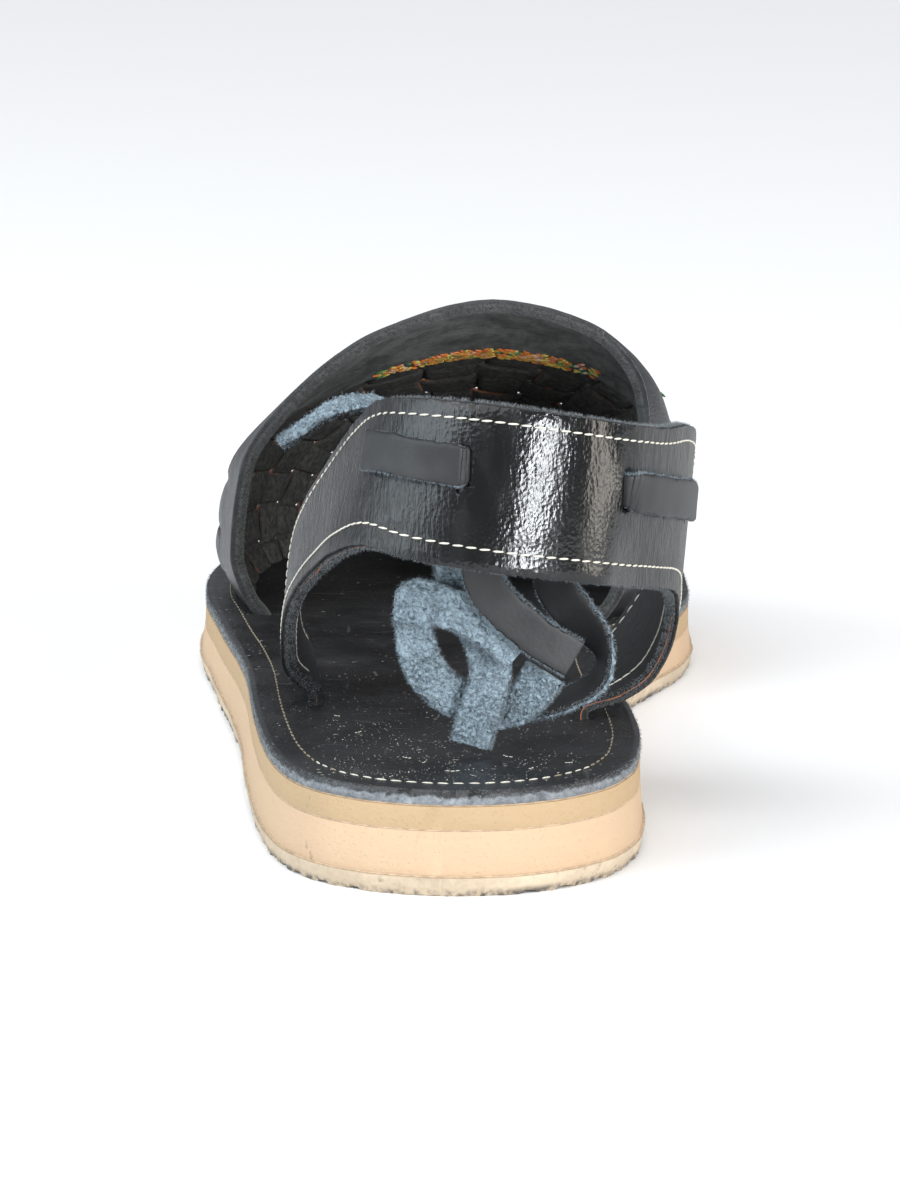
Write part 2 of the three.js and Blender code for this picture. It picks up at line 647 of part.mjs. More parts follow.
// Both edge curves of the strap, with roots that drop straight into the footbed
function strapEdgeCurve(edge) {
  const points = strapRows.map((row) => strapEdge(row, edge));
  const root = (point) => new THREE.Vector3(point.x, point.y, layerHeights(point.y).footbedBottom + meetingGap);
  return [root(points[0]), ...points, root(points[points.length - 1])];
}

const strapLow = strapEdgeCurve('low');
const strapHigh = strapEdgeCurve('high');
const strapCurves = [strapLow, strapHigh].map((run) => new THREE.CatmullRomCurve3(run, false, 'centripetal'));
const strapPlaces = strapLow.reduce((places, point, i) => {
  const middle = (k) => strapLow[k].clone().lerp(strapHigh[k], 0.5);
  places.push(i === 0 ? 0 : places[i - 1] + middle(i).distanceTo(middle(i - 1)));
  return places;
}, []);
const strapLength = strapPlaces[strapPlaces.length - 1];
const strapSpacing = strapPlaces.map((place, i) => ({
  along: place / strapLength,
  row: i / (strapPlaces.length - 1),
}));

// A point of the strap's middle surface
function strapPoint(along, up) {
  const row = readTable(strapSpacing, 'along', 'row', along);
  const [low, high] = strapCurves.map((curve) => curve.getPoint(row));
  return low.lerp(high, up);
}

function strapFrame(along, up) {
  const a = THREE.MathUtils.clamp(along, 0.004, 0.996);
  const tangent = strapPoint(a + 0.004, up).sub(strapPoint(a - 0.004, up)).normalize();
  const rise = strapPoint(a, 1).sub(strapPoint(a, 0)).normalize();
  const out = tangent.clone().cross(rise).normalize();
  return { tangent, rise, out };
}

function strapSkin(along, up, depth) {
  const { out } = strapFrame(along, up);
  return strapPoint(along, up).addScaledVector(out, depth);
}

// The strap's wall between two depths and beyond its edges by margin, over part of its length
function strapWall(from, to, steps, depth, margin) {
  const rings = [];
  for (let i = 0; i <= steps; i += 1) {
    const along = mix(from, to, i / steps);
    const width = strapPoint(along, 0).distanceTo(strapPoint(along, 1));
    const extra = margin / width;
    const ups = [0, 1 / 3, 2 / 3, 1].map((up) => mix(-extra, 1 + extra, up));
    const inside = ups.map((up) => strapSkin(along, up, -depth));
    const outside = [...ups].reverse().map((up) => strapSkin(along, up, depth));
    rings.push([...inside, ...outside]);
  }
  return ringBody(rings);
}

// A box around one strap slot, long enough to pass the wall
function slotCutter(slot) {
  const { rise, out } = strapFrame(slot.along, slot.up);
  const box = new THREE.BoxGeometry(
    thongThickness + 3 * slotClearance,
    thongWidth + 3 * slotClearance,
    4 * strapThickness,
  );
  const turn = new THREE.Matrix4().makeBasis(rise.clone().cross(out), rise, out);
  turn.setPosition(strapPoint(slot.along, slot.up));
  const flat = box.toNonIndexed();
  flat.applyMatrix4(turn);
  return solidFrom(weld(flat));
}

// Joins vertices that share a place
function weld(geometry) {
  const position = geometry.attributes.position;
  const known = new Map();
  const points = [];
  const ids = [];
  for (let i = 0; i < position.count; i += 1) {
    const point = [position.getX(i), position.getY(i), position.getZ(i)];
    const key = point.map((value) => Math.round(value * 1e4)).join(' ');
    if (!known.has(key)) {
      known.set(key, points.push(point) - 1);
    }
    ids.push(known.get(key));
  }
  return bodyFrom(points, [ids]);
}

function strapBody() {
  let solid = solidFrom(strapWall(0, 1, 64, strapThickness / 2, 0));
  Object.values(laceSlots).forEach((slot) => {
    solid = solid.subtract(slotCutter(slot));
  });
  return geometryFrom(solid);
}

// The slot in the footbed for one root of the strap
function rootSlot(end) {
  const row = end === 'lateral' ? strapRows[0] : strapRows[strapRows.length - 1];
  const low = strapEdge(row, 'low');
  const high = strapEdge(row, 'high');
  const way = high.clone().sub(low).setZ(0).normalize();
  const side = new THREE.Vector3(way.y, -way.x, 0);
  const half = strapThickness / 2 + slotClearance;
  const rings = [-1.5, footbedThickness + 1.5].map((lift) => {
    const height = layerHeights(low.y).footbedBottom + lift;
    const corner = (point, along, across) => {
      const moved = point.clone().setZ(height);
      return moved.addScaledVector(way, along).addScaledVector(side, across);
    };
    return [
      corner(low, -slotClearance, -half),
      corner(low, -slotClearance, half),
      corner(high, slotClearance, half),
      corner(high, slotClearance, -half),
    ];
  });
  return solidFrom(ringBody(rings));
}

function footbedBody() {
  const blank = soleLayer([
    { inset: footbedSetback, height: (y) => layerHeights(y).footbedBottom },
    { inset: footbedSetback, height: (y) => layerHeights(y).footbedTop },
  ]);
  const cut = solidFrom(blank)
    .subtract(vampChannel())
    .subtract(rootSlot('lateral'))
    .subtract(rootSlot('medial'));
  return geometryFrom(cut);
}

// Flat strip through rows, each with a middle, the way its face looks, and a spread of its width
function thongBody(rows) {
  const middle = rows.map((row) => row.at);
  const rings = rows.map((row, i) => {
    const before = middle[Math.max(0, i - 1)];
    const after = middle[Math.min(rows.length - 1, i + 1)];
    const tangent = after.clone().sub(before).normalize();
    const width = row.face.clone().cross(tangent).normalize();
    const face = tangent.clone().cross(width).normalize();
    if (row.turn) {
      width.applyAxisAngle(face, THREE.MathUtils.degToRad(row.turn));
    }
    const half = (thongWidth / 2) * (row.spread || 1);
    const thick = thongThickness / 2;
    const bevel = 0.35 * thongThickness;
    const corners = [
      [half, -thick + bevel], [half, thick - bevel], [half - bevel, thick], [-half + bevel, thick],
      [-half, thick - bevel], [-half, -thick + bevel], [-half + bevel, -thick], [half - bevel, -thick],
    ];
    return corners.map(([w, t]) => row.at.clone().addScaledVector(width, w).addScaledVector(face, t));
  });
  return ringBody(rings);
}

// A thong that passes out through one slot, along the strap's outside and in through the next
function laceBar(start, end) {
  const outside = strapThickness / 2 + thongBend;
  const inside = -strapThickness / 2 - thongTail;
  const bendShare = thongBend / strapLength;
  const rows = [];
  const place = (along, depth) => {
    const share = (along - start.along) / (end.along - start.along);
    const up = mix(start.up, end.up, THREE.MathUtils.clamp(share, 0, 1));
    const { rise } = strapFrame(along, up);
    rows.push({ at: strapSkin(along, up, depth), rise });
  };
  const bend = [0, 30, 60, 90].map((angle) => THREE.MathUtils.degToRad(angle));
  place(start.along, inside);
  bend.forEach((angle) => {
    place(start.along + bendShare * (1 - Math.cos(angle)), strapThickness / 2 + thongBend * Math.sin(angle));
  });
  const steps = Math.ceil(((end.along - start.along) * strapLength) / 4);
  for (let i = 1; i < steps; i += 1) {
    place(mix(start.along + bendShare, end.along - bendShare, i / steps), outside);
  }
  bend.reverse().forEach((angle) => {
    place(end.along - bendShare * (1 - Math.cos(angle)), strapThickness / 2 + thongBend * Math.sin(angle));
  });
  place(end.along, inside);
  rows.forEach((row, i) => {
    const before = rows[Math.max(0, i - 1)].at;
    const after = rows[Math.min(rows.length - 1, i + 1)].at;
    row.face = after.clone().sub(before).normalize().cross(row.rise).normalize();
  });
  return thongBody(rows);
}

function freeThong(rows) {
  return thongBody(rows.map((row) => ({
    at: new THREE.Vector3(...row.at),
    face: new THREE.Vector3(...row.face).normalize(),
    turn: row.turn,
    spread: row.spread,
  })));
}

const shoe = new THREE.Group();

function addPiece(name, geometry, colour, roughness) {
  const material = new THREE.MeshStandardMaterial({ color: colour, roughness, metalness: 0 });
  const mesh = new THREE.Mesh(geometry, material);
  mesh.name = name;
  shoe.add(mesh);
  return mesh;
}

const at = (level) => (y) => layerHeights(y)[level];

addPiece('outsole', soleLayer([
  { inset: 0, height: at('ground') },
  { inset: -outsoleFlange, height: (y) => layerHeights(y).ground + outsoleThickness / 3 },
  { inset: -outsoleFlange, height: at('outsoleTop') },
]), colours.rubber, 0.7);

addPiece('midsole_wedge', soleLayer([
  { inset: -0.5 * outsoleFlange, height: at('wedgeBottom') },
  { inset: 0, height: at('wedgeTop') },
]), colours.lightFoam, 0.8);

addPiece('midsole_top_layer', soleLayer([
  { inset: 0, height: at('foamBottom') },
  { inset: 0, height: at('foamTop') },
]), colours.tanFoam, 0.8);

addPiece('footbed', footbedBody(), colours.footbed, 0.45);
addPiece('vamp', vampBody(), colours.vamp, 0.5);
addPiece('heel_strap', strapBody(), colours.strap, 0.3);
addPiece('lace_bar_left', laceBar(laceSlots.lateralFront, laceSlots.lateralBack), colours.thong, 0.5);
addPiece('lace_bar_right', laceBar(laceSlots.medialBack, laceSlots.medialFront), colours.thong, 0.5);
Object.entries(freeThongs).forEach(([name, rows]) => {
  addPiece(name, freeThong(rows), colours.suede, 0.8);
});

// The origin is under the middle of the shoe's box, on the ground
const box = new THREE.Box3().setFromObject(shoe);
shoe.position.set(-(box.min.x + box.max.x) / 2, -(box.min.y + box.max.y) / 2, -box.min.z);
const model = new THREE.Group();
model.add(shoe);

export default model;
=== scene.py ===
# %% [markdown]
# A left huarache sandal: a woven leather vamp, a heel strap with thongs through it, and a stacked
# foam sole. The packed solids give its true sizes. They could be rendered as they are, but
# leather is known by its bent edges, stitches and nap, so each solid is dressed with a sheet of
# its own that follows the same tables. The order is camera, helpers, thongs, strap, sole,
# footbed, vamp, lights.

# %% Load the frame
import math
import random
import bmesh
import bpy
import numpy as np
from mathutils import Matrix, Vector, noise


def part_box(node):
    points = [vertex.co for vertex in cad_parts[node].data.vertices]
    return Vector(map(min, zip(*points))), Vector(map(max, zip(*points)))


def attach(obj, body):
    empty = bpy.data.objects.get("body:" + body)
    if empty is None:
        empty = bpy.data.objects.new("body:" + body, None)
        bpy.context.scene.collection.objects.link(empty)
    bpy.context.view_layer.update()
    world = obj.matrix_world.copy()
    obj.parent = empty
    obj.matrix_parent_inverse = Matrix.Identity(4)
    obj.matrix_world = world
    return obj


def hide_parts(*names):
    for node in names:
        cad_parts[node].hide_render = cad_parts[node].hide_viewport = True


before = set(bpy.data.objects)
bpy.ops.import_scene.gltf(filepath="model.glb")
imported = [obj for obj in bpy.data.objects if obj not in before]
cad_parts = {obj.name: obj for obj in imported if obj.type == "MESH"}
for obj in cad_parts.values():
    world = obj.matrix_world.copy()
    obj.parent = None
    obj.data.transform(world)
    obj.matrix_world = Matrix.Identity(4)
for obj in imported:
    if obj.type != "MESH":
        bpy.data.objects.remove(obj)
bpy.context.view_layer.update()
MM = 0.001
HEEL_ORIGIN = Vector((0.457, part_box("midsole_top_layer")[0].y / MM, 0.0))
print("frame", len(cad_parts), "nodes, heel at", [round(v, 2) for v in HEEL_ORIGIN])

# %% [markdown]
# The camera stands 0.7 m behind the heel with a long lens, and looks down by eleven degrees. It
# could be aimed with a constraint, but three turn angles place it exactly.

# %% Camera
LENS_PIXELS = 4647.14
LONG_SIDE_PIXELS = 1200
LONG_SIDE_SENSOR = 36
EYE = Vector((2.541, -700.44, 181.97))
YAW, PITCH, ROLL = -0.0029, 0.1906, 0.0213


def make_camera():
    forward = Vector((
        math.sin(YAW) * math.cos(PITCH), math.cos(YAW) * math.cos(PITCH), -math.sin(PITCH)))
    level = Vector((math.cos(YAW), -math.sin(YAW), 0))
    upright = level.cross(forward)
    right = level * math.cos(ROLL) + upright * math.sin(ROLL)
    up = upright * math.cos(ROLL) - level * math.sin(ROLL)
    data = bpy.data.cameras.new("camera")
    data.lens = LENS_PIXELS / LONG_SIDE_PIXELS * LONG_SIDE_SENSOR
    data.sensor_width = LONG_SIDE_SENSOR
    data.clip_start, data.clip_end = 0.01, 100
    camera = bpy.data.objects.new("camera", data)
    turn = Matrix((right, up, -forward)).transposed()
    camera.matrix_world = Matrix.Translation((EYE + HEEL_ORIGIN) * MM) @ turn.to_4x4()
    bpy.context.scene.collection.objects.link(camera)
    bpy.context.scene.camera = camera
    return camera


camera = make_camera()
print("camera at", [round(v, 3) for v in camera.location], "lens", round(camera.data.lens, 1))

# %% [markdown]
# Shader maths is easier to read as an expression. This class wraps a socket, so that adding,
# multiplying or comparing two of them lays down the Math nodes. Every other node comes from
# `node`.

# %% Signals


class Signal:
    """One output socket of a finish, with arithmetic that adds Math nodes."""

    def __init__(self, finish, socket):
        self.finish = finish
        self.socket = socket

    def join(self, operation, *parts):
        return self.finish.node("ShaderNodeMath", {"operation": operation}, *parts)

    def __add__(self, other):
        return self.join("ADD", self, other)

    __radd__ = __add__

    def __mul__(self, other):
        return self.join("MULTIPLY", self, other)

    __rmul__ = __mul__

    def __sub__(self, other):
        return self.join("SUBTRACT", self, other)

    def __rsub__(self, other):
        return self.join("SUBTRACT", other, self)

    def clamp(self):
        return self.finish.node("ShaderNodeClamp", {}, self)

    def band(self, low, high):
        """0 below low, 1 above high, smooth between."""
        settings = {"interpolation_type": "SMOOTHSTEP"}
        return self.finish.node("ShaderNodeMapRange", settings, self, low, high, 0.0, 1.0)


print("a signal can", [name for name in vars(Signal) if not name.startswith("_")])

# %% Finishes


class Finish:
    """A material under construction."""

    def __init__(self, name, **constants):
        self.material = bpy.data.materials.new(name)
        self.material.use_nodes = True
        self.tree = self.material.node_tree
        self.shader = self.tree.nodes["Principled BSDF"]
        for socket, value in constants.items():
            self.shader.inputs[socket.replace("_", " ")].default_value = value

    def node(self, kind, settings, *values, output=0, **named):
        made = self.tree.nodes.new(kind)
        for key, value in settings.items():
            setattr(made, key, value)
        pairs = [(made.inputs[k], value) for k, value in enumerate(values) if value is not None]
        pairs += [(made.inputs[key.replace("_", " ")], value) for key, value in named.items()]
        for socket, value in pairs:
            if isinstance(value, Signal):
                self.tree.links.new(value.socket, socket)
            else:
                socket.default_value = value
        return Signal(self, made.outputs[output])

    def place(self, source="Object"):
        return self.node("ShaderNodeTexCoord", {}, output=source)

    def stretch(self, where, scale):
        return self.node("ShaderNodeMapping", {}, Vector=where, Scale=scale)

    def grain(self, where, scale, detail=3.0, rough=0.55):
        settings = {"noise_dimensions": "3D"}
        return self.node(
            "ShaderNodeTexNoise", settings,
            Vector=where, Scale=scale, Detail=detail, Roughness=rough)

    def cells(self, where, scale):
        return self.node("ShaderNodeTexVoronoi", {"feature": "F1"}, Vector=where, Scale=scale)

    def attribute(self, name):
        return self.node("ShaderNodeAttribute", {"attribute_name": name}, output="Fac")

    def blend(self, factor, first, second):
        made = self.tree.nodes.new("ShaderNodeMix")
        made.data_type = "RGBA"
        for index, value in ((0, factor), (6, first), (7, second)):
            if isinstance(value, Signal):
                self.tree.links.new(value.socket, made.inputs[index])
            else:
                made.inputs[index].default_value = (*value, 1) if index else value
        return Signal(self, made.outputs[2])

    def feed(self, socket, signal):
        self.tree.links.new(signal.socket, self.shader.inputs[socket])

    def bump(self, height, distance):
        made = self.node("ShaderNodeBump", {}, Strength=1.0, Distance=distance, Height=height)
        self.feed("Normal", made)


print("finish helper ready")

# %% [markdown]
# Almost every piece here is sheet stock: leather, foam or rubber of an even thickness, cut and
# bent. It could be a Solidify modifier on a bent plane, but then both skins would have the same
# shape. So each piece starts as a flat grid, the chart, gets its second skin by extruding the
# whole grid, and is bent into place by a function of chart position and skin. Four attributes
# tell a finish where it is: across and along the chart, side (0 and 1 for the two skins) and edge
# (1 on the cut edge).

# %% Small maths


def clamp(value, low=0.0, high=1.0):
    return max(low, min(high, value))


def mix(start, end, share):
    return start + (end - start) * share


def smooth_step(low, high, value):
    share = clamp((value - low) / (high - low))
    return share * share * (3 - 2 * share)


print("a quarter of the way is smoothed to", smooth_step(0, 1, 0.25))

# %% Grid and object


def flat_grid(columns, rows):
    """A grid over the unit square."""
    bm = bmesh.new()
    bmesh.ops.create_grid(bm, x_segments=columns, y_segments=rows, size=1)
    bmesh.ops.translate(bm, verts=bm.verts, vec=(1, 1, 0))
    bmesh.ops.scale(bm, verts=bm.verts, vec=(0.5, 0.5, 1))
    return bm


def to_object(name, bm, finish, smooth=True):
    mesh = bpy.data.meshes.new(name)
    bm.to_mesh(mesh)
    bm.free()
    if smooth:
        mesh.shade_smooth()
    piece = bpy.data.objects.new(name, mesh)
    mesh.materials.append(finish)
    bpy.context.scene.collection.objects.link(piece)
    return piece


def seat(piece, slot, *nodes):
    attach(piece, "root")
    if nodes:
        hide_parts(*nodes)
    print(piece.name, len(piece.data.polygons), "faces")
    return piece


# %% Bending a sheet
SHARP_EDGE = math.radians(55)
WELD_DISTANCE = 0.01 * MM


def bend_sheet(bm, place, chart_size, rim=0.0, closed_ends=False):
    """Turns a flat grid into a closed wall. place(u, v, skin) gives millimetres from the heel."""
    u_layer = bm.verts.layers.float.new("across")
    v_layer = bm.verts.layers.float.new("along")
    skin_layer = bm.verts.layers.float.new("side")
    edge_layer = bm.verts.layers.float.new("edge")
    uv_layer = bm.loops.layers.uv.new("UVMap")
    for vert in bm.verts:
        vert[u_layer], vert[v_layer] = vert.co.x, vert.co.y
        vert[edge_layer] = 1.0 if vert.is_boundary else 0.0
    made = bmesh.ops.extrude_face_region(bm, geom=bm.faces[:])["geom"]
    for item in made:
        if isinstance(item, bmesh.types.BMVert):
            item[skin_layer] = 1.0
    for vert in bm.verts:
        spot = place(vert[u_layer], vert[v_layer], vert[skin_layer])
        vert.co = (spot + HEEL_ORIGIN) * MM
    for face in bm.faces:
        for loop in face.loops:
            vert = loop.vert
            loop[uv_layer].uv = (vert[u_layer] * chart_size[0], vert[v_layer] * chart_size[1])
    if closed_ends:
        bmesh.ops.remove_doubles(bm, verts=bm.verts, dist=WELD_DISTANCE)
    bmesh.ops.recalc_face_normals(bm, faces=bm.faces)
    if rim:
        sharp = [
            edge for edge in bm.edges
            if edge.is_manifold and edge.calc_face_angle() > SHARP_EDGE]
        bmesh.ops.bevel(
            bm, geom=sharp, offset=rim * MM, offset_type="OFFSET", affect="EDGES",
            segments=2, profile=0.5, material=-1, clamp_overlap=True)
    return bm


print("rims sharper than", round(math.degrees(SHARP_EDGE)), "degrees are bevelled")

# %% Reading a table


def read_table(rows, key, column, at):
    """Smooth reading of one column of a table, with no overshoot between its rows."""
    last = len(rows) - 1
    place = clamp(at, rows[0][key], rows[last][key])
    index = 0
    while index < last - 1 and place > rows[index + 1][key]:
        index += 1

    def secant(k):
        return (rows[k + 1][column] - rows[k][column]) / (rows[k + 1][key] - rows[k][key])

    def slope(k):
        if k in (0, last):
            return secant(max(0, k - 1))
        before, after = secant(k - 1), secant(k)
        return 0.0 if before * after <= 0 else 2 * before * after / (before + after)

    span = rows[index + 1][key] - rows[index][key]
    t = (place - rows[index][key]) / span
    a, b = rows[index][column], rows[index + 1][column]
    start, end = slope(index) * span, slope(index + 1) * span
    curve = (2 * a - 2 * b + start + end) * t + 3 * b - 3 * a - 2 * start - end
    return curve * t * t + start * t + a


def table(columns, text):
    """A table of named columns from rows of shares."""
    names = columns.split()
    return [dict(zip(names, map(float, line.split()))) for line in text.strip().splitlines()]


slope_sample = table("x y", """
0 0
1 1
3 1""")
print("between rows", round(read_table(slope_sample, "x", "y", 0.5), 3))

# %% [markdown]
# Fibres, stitches, specks and petals come in hundreds. Each could be an object, or a particle
# system, but one mesh for each kind exports well: a small shape is made once and repeated by
# array maths at many places, each with three axes of its own.

# %% Scatter helper


def small_shape(kind):
    """A small shape as arrays of points and faces. kind is fibre, bead or petal."""
    bm = bmesh.new()
    if kind == "fibre":
        bmesh.ops.create_cone(bm, cap_ends=True, segments=3, radius1=0.5, radius2=0, depth=1)
        bmesh.ops.remove_doubles(bm, verts=bm.verts, dist=1e-5)
        bmesh.ops.translate(bm, verts=bm.verts, vec=(0, 0, 0.5))
    else:
        bmesh.ops.create_uvsphere(bm, u_segments=8, v_segments=5, radius=0.5)
        if kind == "petal":
            for vert in bm.verts:
                vert.co.x *= 0.45 + 0.75 * (vert.co.y + 0.5)
    points = np.array([vert.co[:] for vert in bm.verts])
    faces = [[vert.index for vert in face.verts] for face in bm.faces]
    bm.free()
    return points, faces


def scatter(name, shape, spots, finish):
    """One mesh of many copies. Each spot is (origin, x axis, y axis, z axis) in millimetres."""
    points, faces = shape
    table_of_spots = np.array([[list(vector) for vector in spot] for spot in spots])
    origin, axes = table_of_spots[:, 0:1, :], table_of_spots[:, 1:4, :]
    moved = origin + np.einsum("pk,nkc->npc", points, axes)
    moved = (moved + np.array(HEEL_ORIGIN)) * MM
    count = len(points)
    ids = [[corner + k * count for corner in face] for k in range(len(spots)) for face in faces]
    mesh = bpy.data.meshes.new(name)
    mesh.from_pydata(moved.reshape(-1, 3), [], ids)
    mesh.shade_smooth()
    piece = bpy.data.objects.new(name, mesh)
    mesh.materials.append(finish)
    bpy.context.scene.collection.objects.link(piece)
    return piece


def frame_on(normal, along):
    """Unit axes across, along and up for a thing that lies on a surface."""
    up = normal.normalized()
    side = along.cross(up).normalized()
    return side, up.cross(side).normalized(), up


def hair_spots(rng, places, length, radius, spread=0.8):
    """Fibres that stand on places, each (point, direction)."""
    spots = []
    for point, direction in places:
        tilt = Vector((rng.uniform(-1, 1), rng.uniform(-1, 1), rng.uniform(-1, 1))) * spread
        axis = (direction.normalized() + tilt).normalized()
        side, _, _ = frame_on(axis, Vector((0.3, 0.5, 0.8)))
        other = axis.cross(side)
        long = length * rng.uniform(0.35, 1.0)
        thick = radius * rng.uniform(0.7, 1.3)
        spots.append((point, side * thick, other * thick, axis * long))
    return spots


print("a fibre has", len(small_shape("fibre")[1]), "faces, a bead", len(small_shape("bead")[1]))

# %% [markdown]
# The thongs are split leather: smooth dark grain on one face, a blue-grey nap on the other and on
# the cut edges. Two materials on two sets of faces would do, but the attribute side tells the
# faces apart inside one finish, so the change between them can be soft and ragged.

# %% Thong and suede finishes
NAP_SCALE = 900
NAP_DEPTH = 0.00035


def suede_finish(name, dark, light, sheen=0.2):
    finish = Finish(name, Roughness=0.95, Sheen_Weight=sheen, Sheen_Roughness=0.6)
    where = finish.place()
    nap = finish.grain(where, NAP_SCALE, 4, 0.65)
    curls = finish.node(
        "ShaderNodeTexNoise", {"noise_type": "RIDGED_MULTIFRACTAL", "normalize": True},
        Vector=where, Scale=NAP_SCALE * 0.45, Detail=3.0)
    patches = finish.grain(where, 90, 2)
    tone = (nap * 0.6 + curls * 0.35 + patches * 0.35 - 0.2).clamp()
    finish.feed("Base Color", finish.blend(tone, dark, light))
    finish.bump(nap * 0.6 + curls * 0.6, NAP_DEPTH)
    return finish.material


def thong_finish():
    finish = Finish("thong_leather", Specular_IOR_Level=0.4)
    where = finish.place()
    side = finish.attribute("side").band(0.4, 0.9)
    nap = finish.grain(where, NAP_SCALE, 4, 0.65)
    curls = finish.node(
        "ShaderNodeTexNoise", {}, Vector=where, Scale=860.0, Detail=3.0, Distortion=2.2)
    pebbles = finish.grain(where, 1500, 2)
    patches = finish.grain(where, 110, 2)
    # Painted shade: the nap side is darker in the hollows between its curls, and in random patches.
    nap_shade_and_patches = (curls + nap * 0.4 + patches * 0.25).band(0.48, 1.05)
    suede = finish.blend(nap_shade_and_patches, (0.04, 0.057, 0.069), (0.36, 0.45, 0.51))
    leather = finish.blend(patches.band(0.3, 0.7), (0.018, 0.018, 0.019), (0.034, 0.034, 0.035))
    finish.feed("Base Color", finish.blend(side, suede, leather))
    finish.feed("Roughness", 0.93 - side * 0.45 + patches * side * 0.08)
    finish.bump((nap * 0.8 + curls * 1.6) * (1 - side) + pebbles * side * 0.16, NAP_DEPTH)
    return finish.material


THONG = thong_finish()
SUEDE_FIBRE = suede_finish("suede_fibre", (0.12, 0.16, 0.19), (0.38, 0.47, 0.53))
print("finishes", THONG.name, SUEDE_FIBRE.name)

# %% [markdown]
# Five free ends and loops of thong hang inside the heel strap. A curve object with a flat profile
# could give them, but its edges would stay clean and it would pinch in the sharp turns. Here a
# smooth curve runs through the rows of each solid, and a sheet is bent along it. Each row is a
# point and the way the outer face looks there; some rows add a turn in degrees, a share of the
# width and a shift of the middle line in millimetres.

# %% Free thong rows
THONG_WIDTH = 6.4
THONG_THICKNESS = 1.5
FREE_THONGS = {
    "lace_end_front": [
        ((-7.3, 15.0, 66.9), (0.48, -0.86, 0.18)), ((-5.2, 16.5, 66.5), (0.85, -0.5, 0.1)),
        ((-4.9, 20.3, 66.4), (1, 0, 0.1)), ((-6.0, 26.0, 68.0), (0.8, 0.3, 0.4), 0, 0.95),
        ((-9.0, 31.4, 70.7), (0.5, 0.2, 0.8), 0, 0.85),
        ((-13.4, 34.8, 71.9), (0.05, -0.2, 0.95), 0, 0.75),
        ((-18.8, 36.2, 70.7), (-0.25, -0.3, 0.9), 0, 0.7),
        ((-24.6, 36.8, 66.6), (-0.5, -0.25, 0.8), 0, 0.6),
        ((-27.4, 36.9, 64.6), (-0.5, -0.25, 0.8), 0, 0.35)],
    "lace_end_smooth": [
        ((2.9, 7.8, 67.2), (0.99, -0.1, 0)), ((3.0, 10.5, 66.5), (0.9, -0.3, -0.3)),
        ((3.2, 13.8, 64.0), (0.6, -0.6, -0.5)), ((3.6, 16.6, 60.0), (0.25, -0.9, -0.3)),
        ((4.1, 18.3, 55.0), (0, -1, -0.25)), ((4.9, 19.2, 50.0), (0, -1, -0.15)),
        ((6.2, 19.8, 45.3), (-0.1, -1, -0.1)), ((9.7, 20.3, 41.0), (0, -1, 0.1)),
        ((14.6, 20.7, 37.0), (0, -1, 0.1)), ((20.3, 21.4, 33.6), (0.1, -1, 0.1))],
    "lace_loop_left": [
        ((11.6, 22.9, 34.0), (0, -1, 0.1)), ((8.1, 22.9, 37.2), (0, -1, 0.1)),
        ((3.6, 23.0, 39.8), (0, -1, 0.1)), ((-0.9, 23.2, 41.4), (0, -1, 0.1)),
        ((-4.9, 24.6, 41.6), (-0.3, -1, 0.2), 45, 1.3), ((-5.1, 27.0, 37.0), (-0.3, -1, 0)),
        ((-4.4, 28.2, 32.6), (-0.2, -1, 0)), ((-2.6, 28.8, 28.8), (-0.1, -1, 0)),
        ((0.4, 29.1, 26.1), (0, -1, 0)), ((4.5, 29.3, 24.1), (0, -1, 0)),
        ((8.9, 29.2, 23.6), (0, -1, 0)), ((12.2, 28.4, 25.1), (0, -1, 0.1)),
        ((14.6, 27.2, 27.8), (0, -1, 0.2)), ((16.0, 26.4, 30.3), (0, -1, 0.2))],
    "lace_end_down": [
        ((0.6, 21.9, 58.0), (0, -1, -0.2)), ((0.6, 22.9, 53.5), (0, -1, -0.25)),
        ((0.8, 24.8, 49.0), (0, -1, -0.3)), ((1.4, 25.9, 44.5), (0, -1, -0.2)),
        ((3.4, 26.6, 40.0), (0, -1, -0.1)), ((5.9, 26.8, 35.5), (0, -1, 0)),
        ((7.2, 26.8, 30.5), (0, -1, 0)), ((6.4, 26.6, 26.0), (0, -1, 0)),
        ((5.2, 26.9, 21.9), (0, -1, 0)), ((4.2, 26.9, 18.1), (0, -1, 0))],
    "lace_loop_right": [
        ((21.6, 16.0, 62.9), (0.53, 0.84, 0.12)), ((20.9, 18.6, 62.2), (0.7, 0.7, 0)),
        ((19.9, 22.4, 59.0), (0.8, 0.5, -0.2), 0, 1, 0.3),
        ((18.8, 26.4, 54.0), (0.6, 0.75, -0.2), 0, 1.05, 0.9),
        ((18.0, 29.6, 48.6), (0.4, 0.9, -0.15), 0, 1.1, 1.3),
        ((18.7, 31.4, 43.4), (0.35, 0.92, -0.1), 0, 1.1, 1.3),
        ((21.4, 32.4, 39.0), (0.4, 0.9, 0), 0, 1.08, 0.9),
        ((24.2, 33.0, 34.9), (0.7, 0.7, 0), 0, 1, 0.4),
        ((25.6, 33.4, 31.0), (0.95, 0.3, -0.1)), ((24.4, 33.6, 27.4), (0.75, 0.3, -0.6)),
        ((20.2, 33.6, 24.6), (0.3, 0.3, -0.9)), ((15.0, 33.6, 23.0), (0.25, 0.3, -0.92)),
        ((10.6, 33.6, 22.2), (0.3, 0.2, -0.95))],
}
GRAIN_FACES_BACK = {"lace_loop_right", "lace_loop_left", "lace_end_down", "lace_end_front"}
print("free thongs", len(FREE_THONGS))

# %% Smooth curve


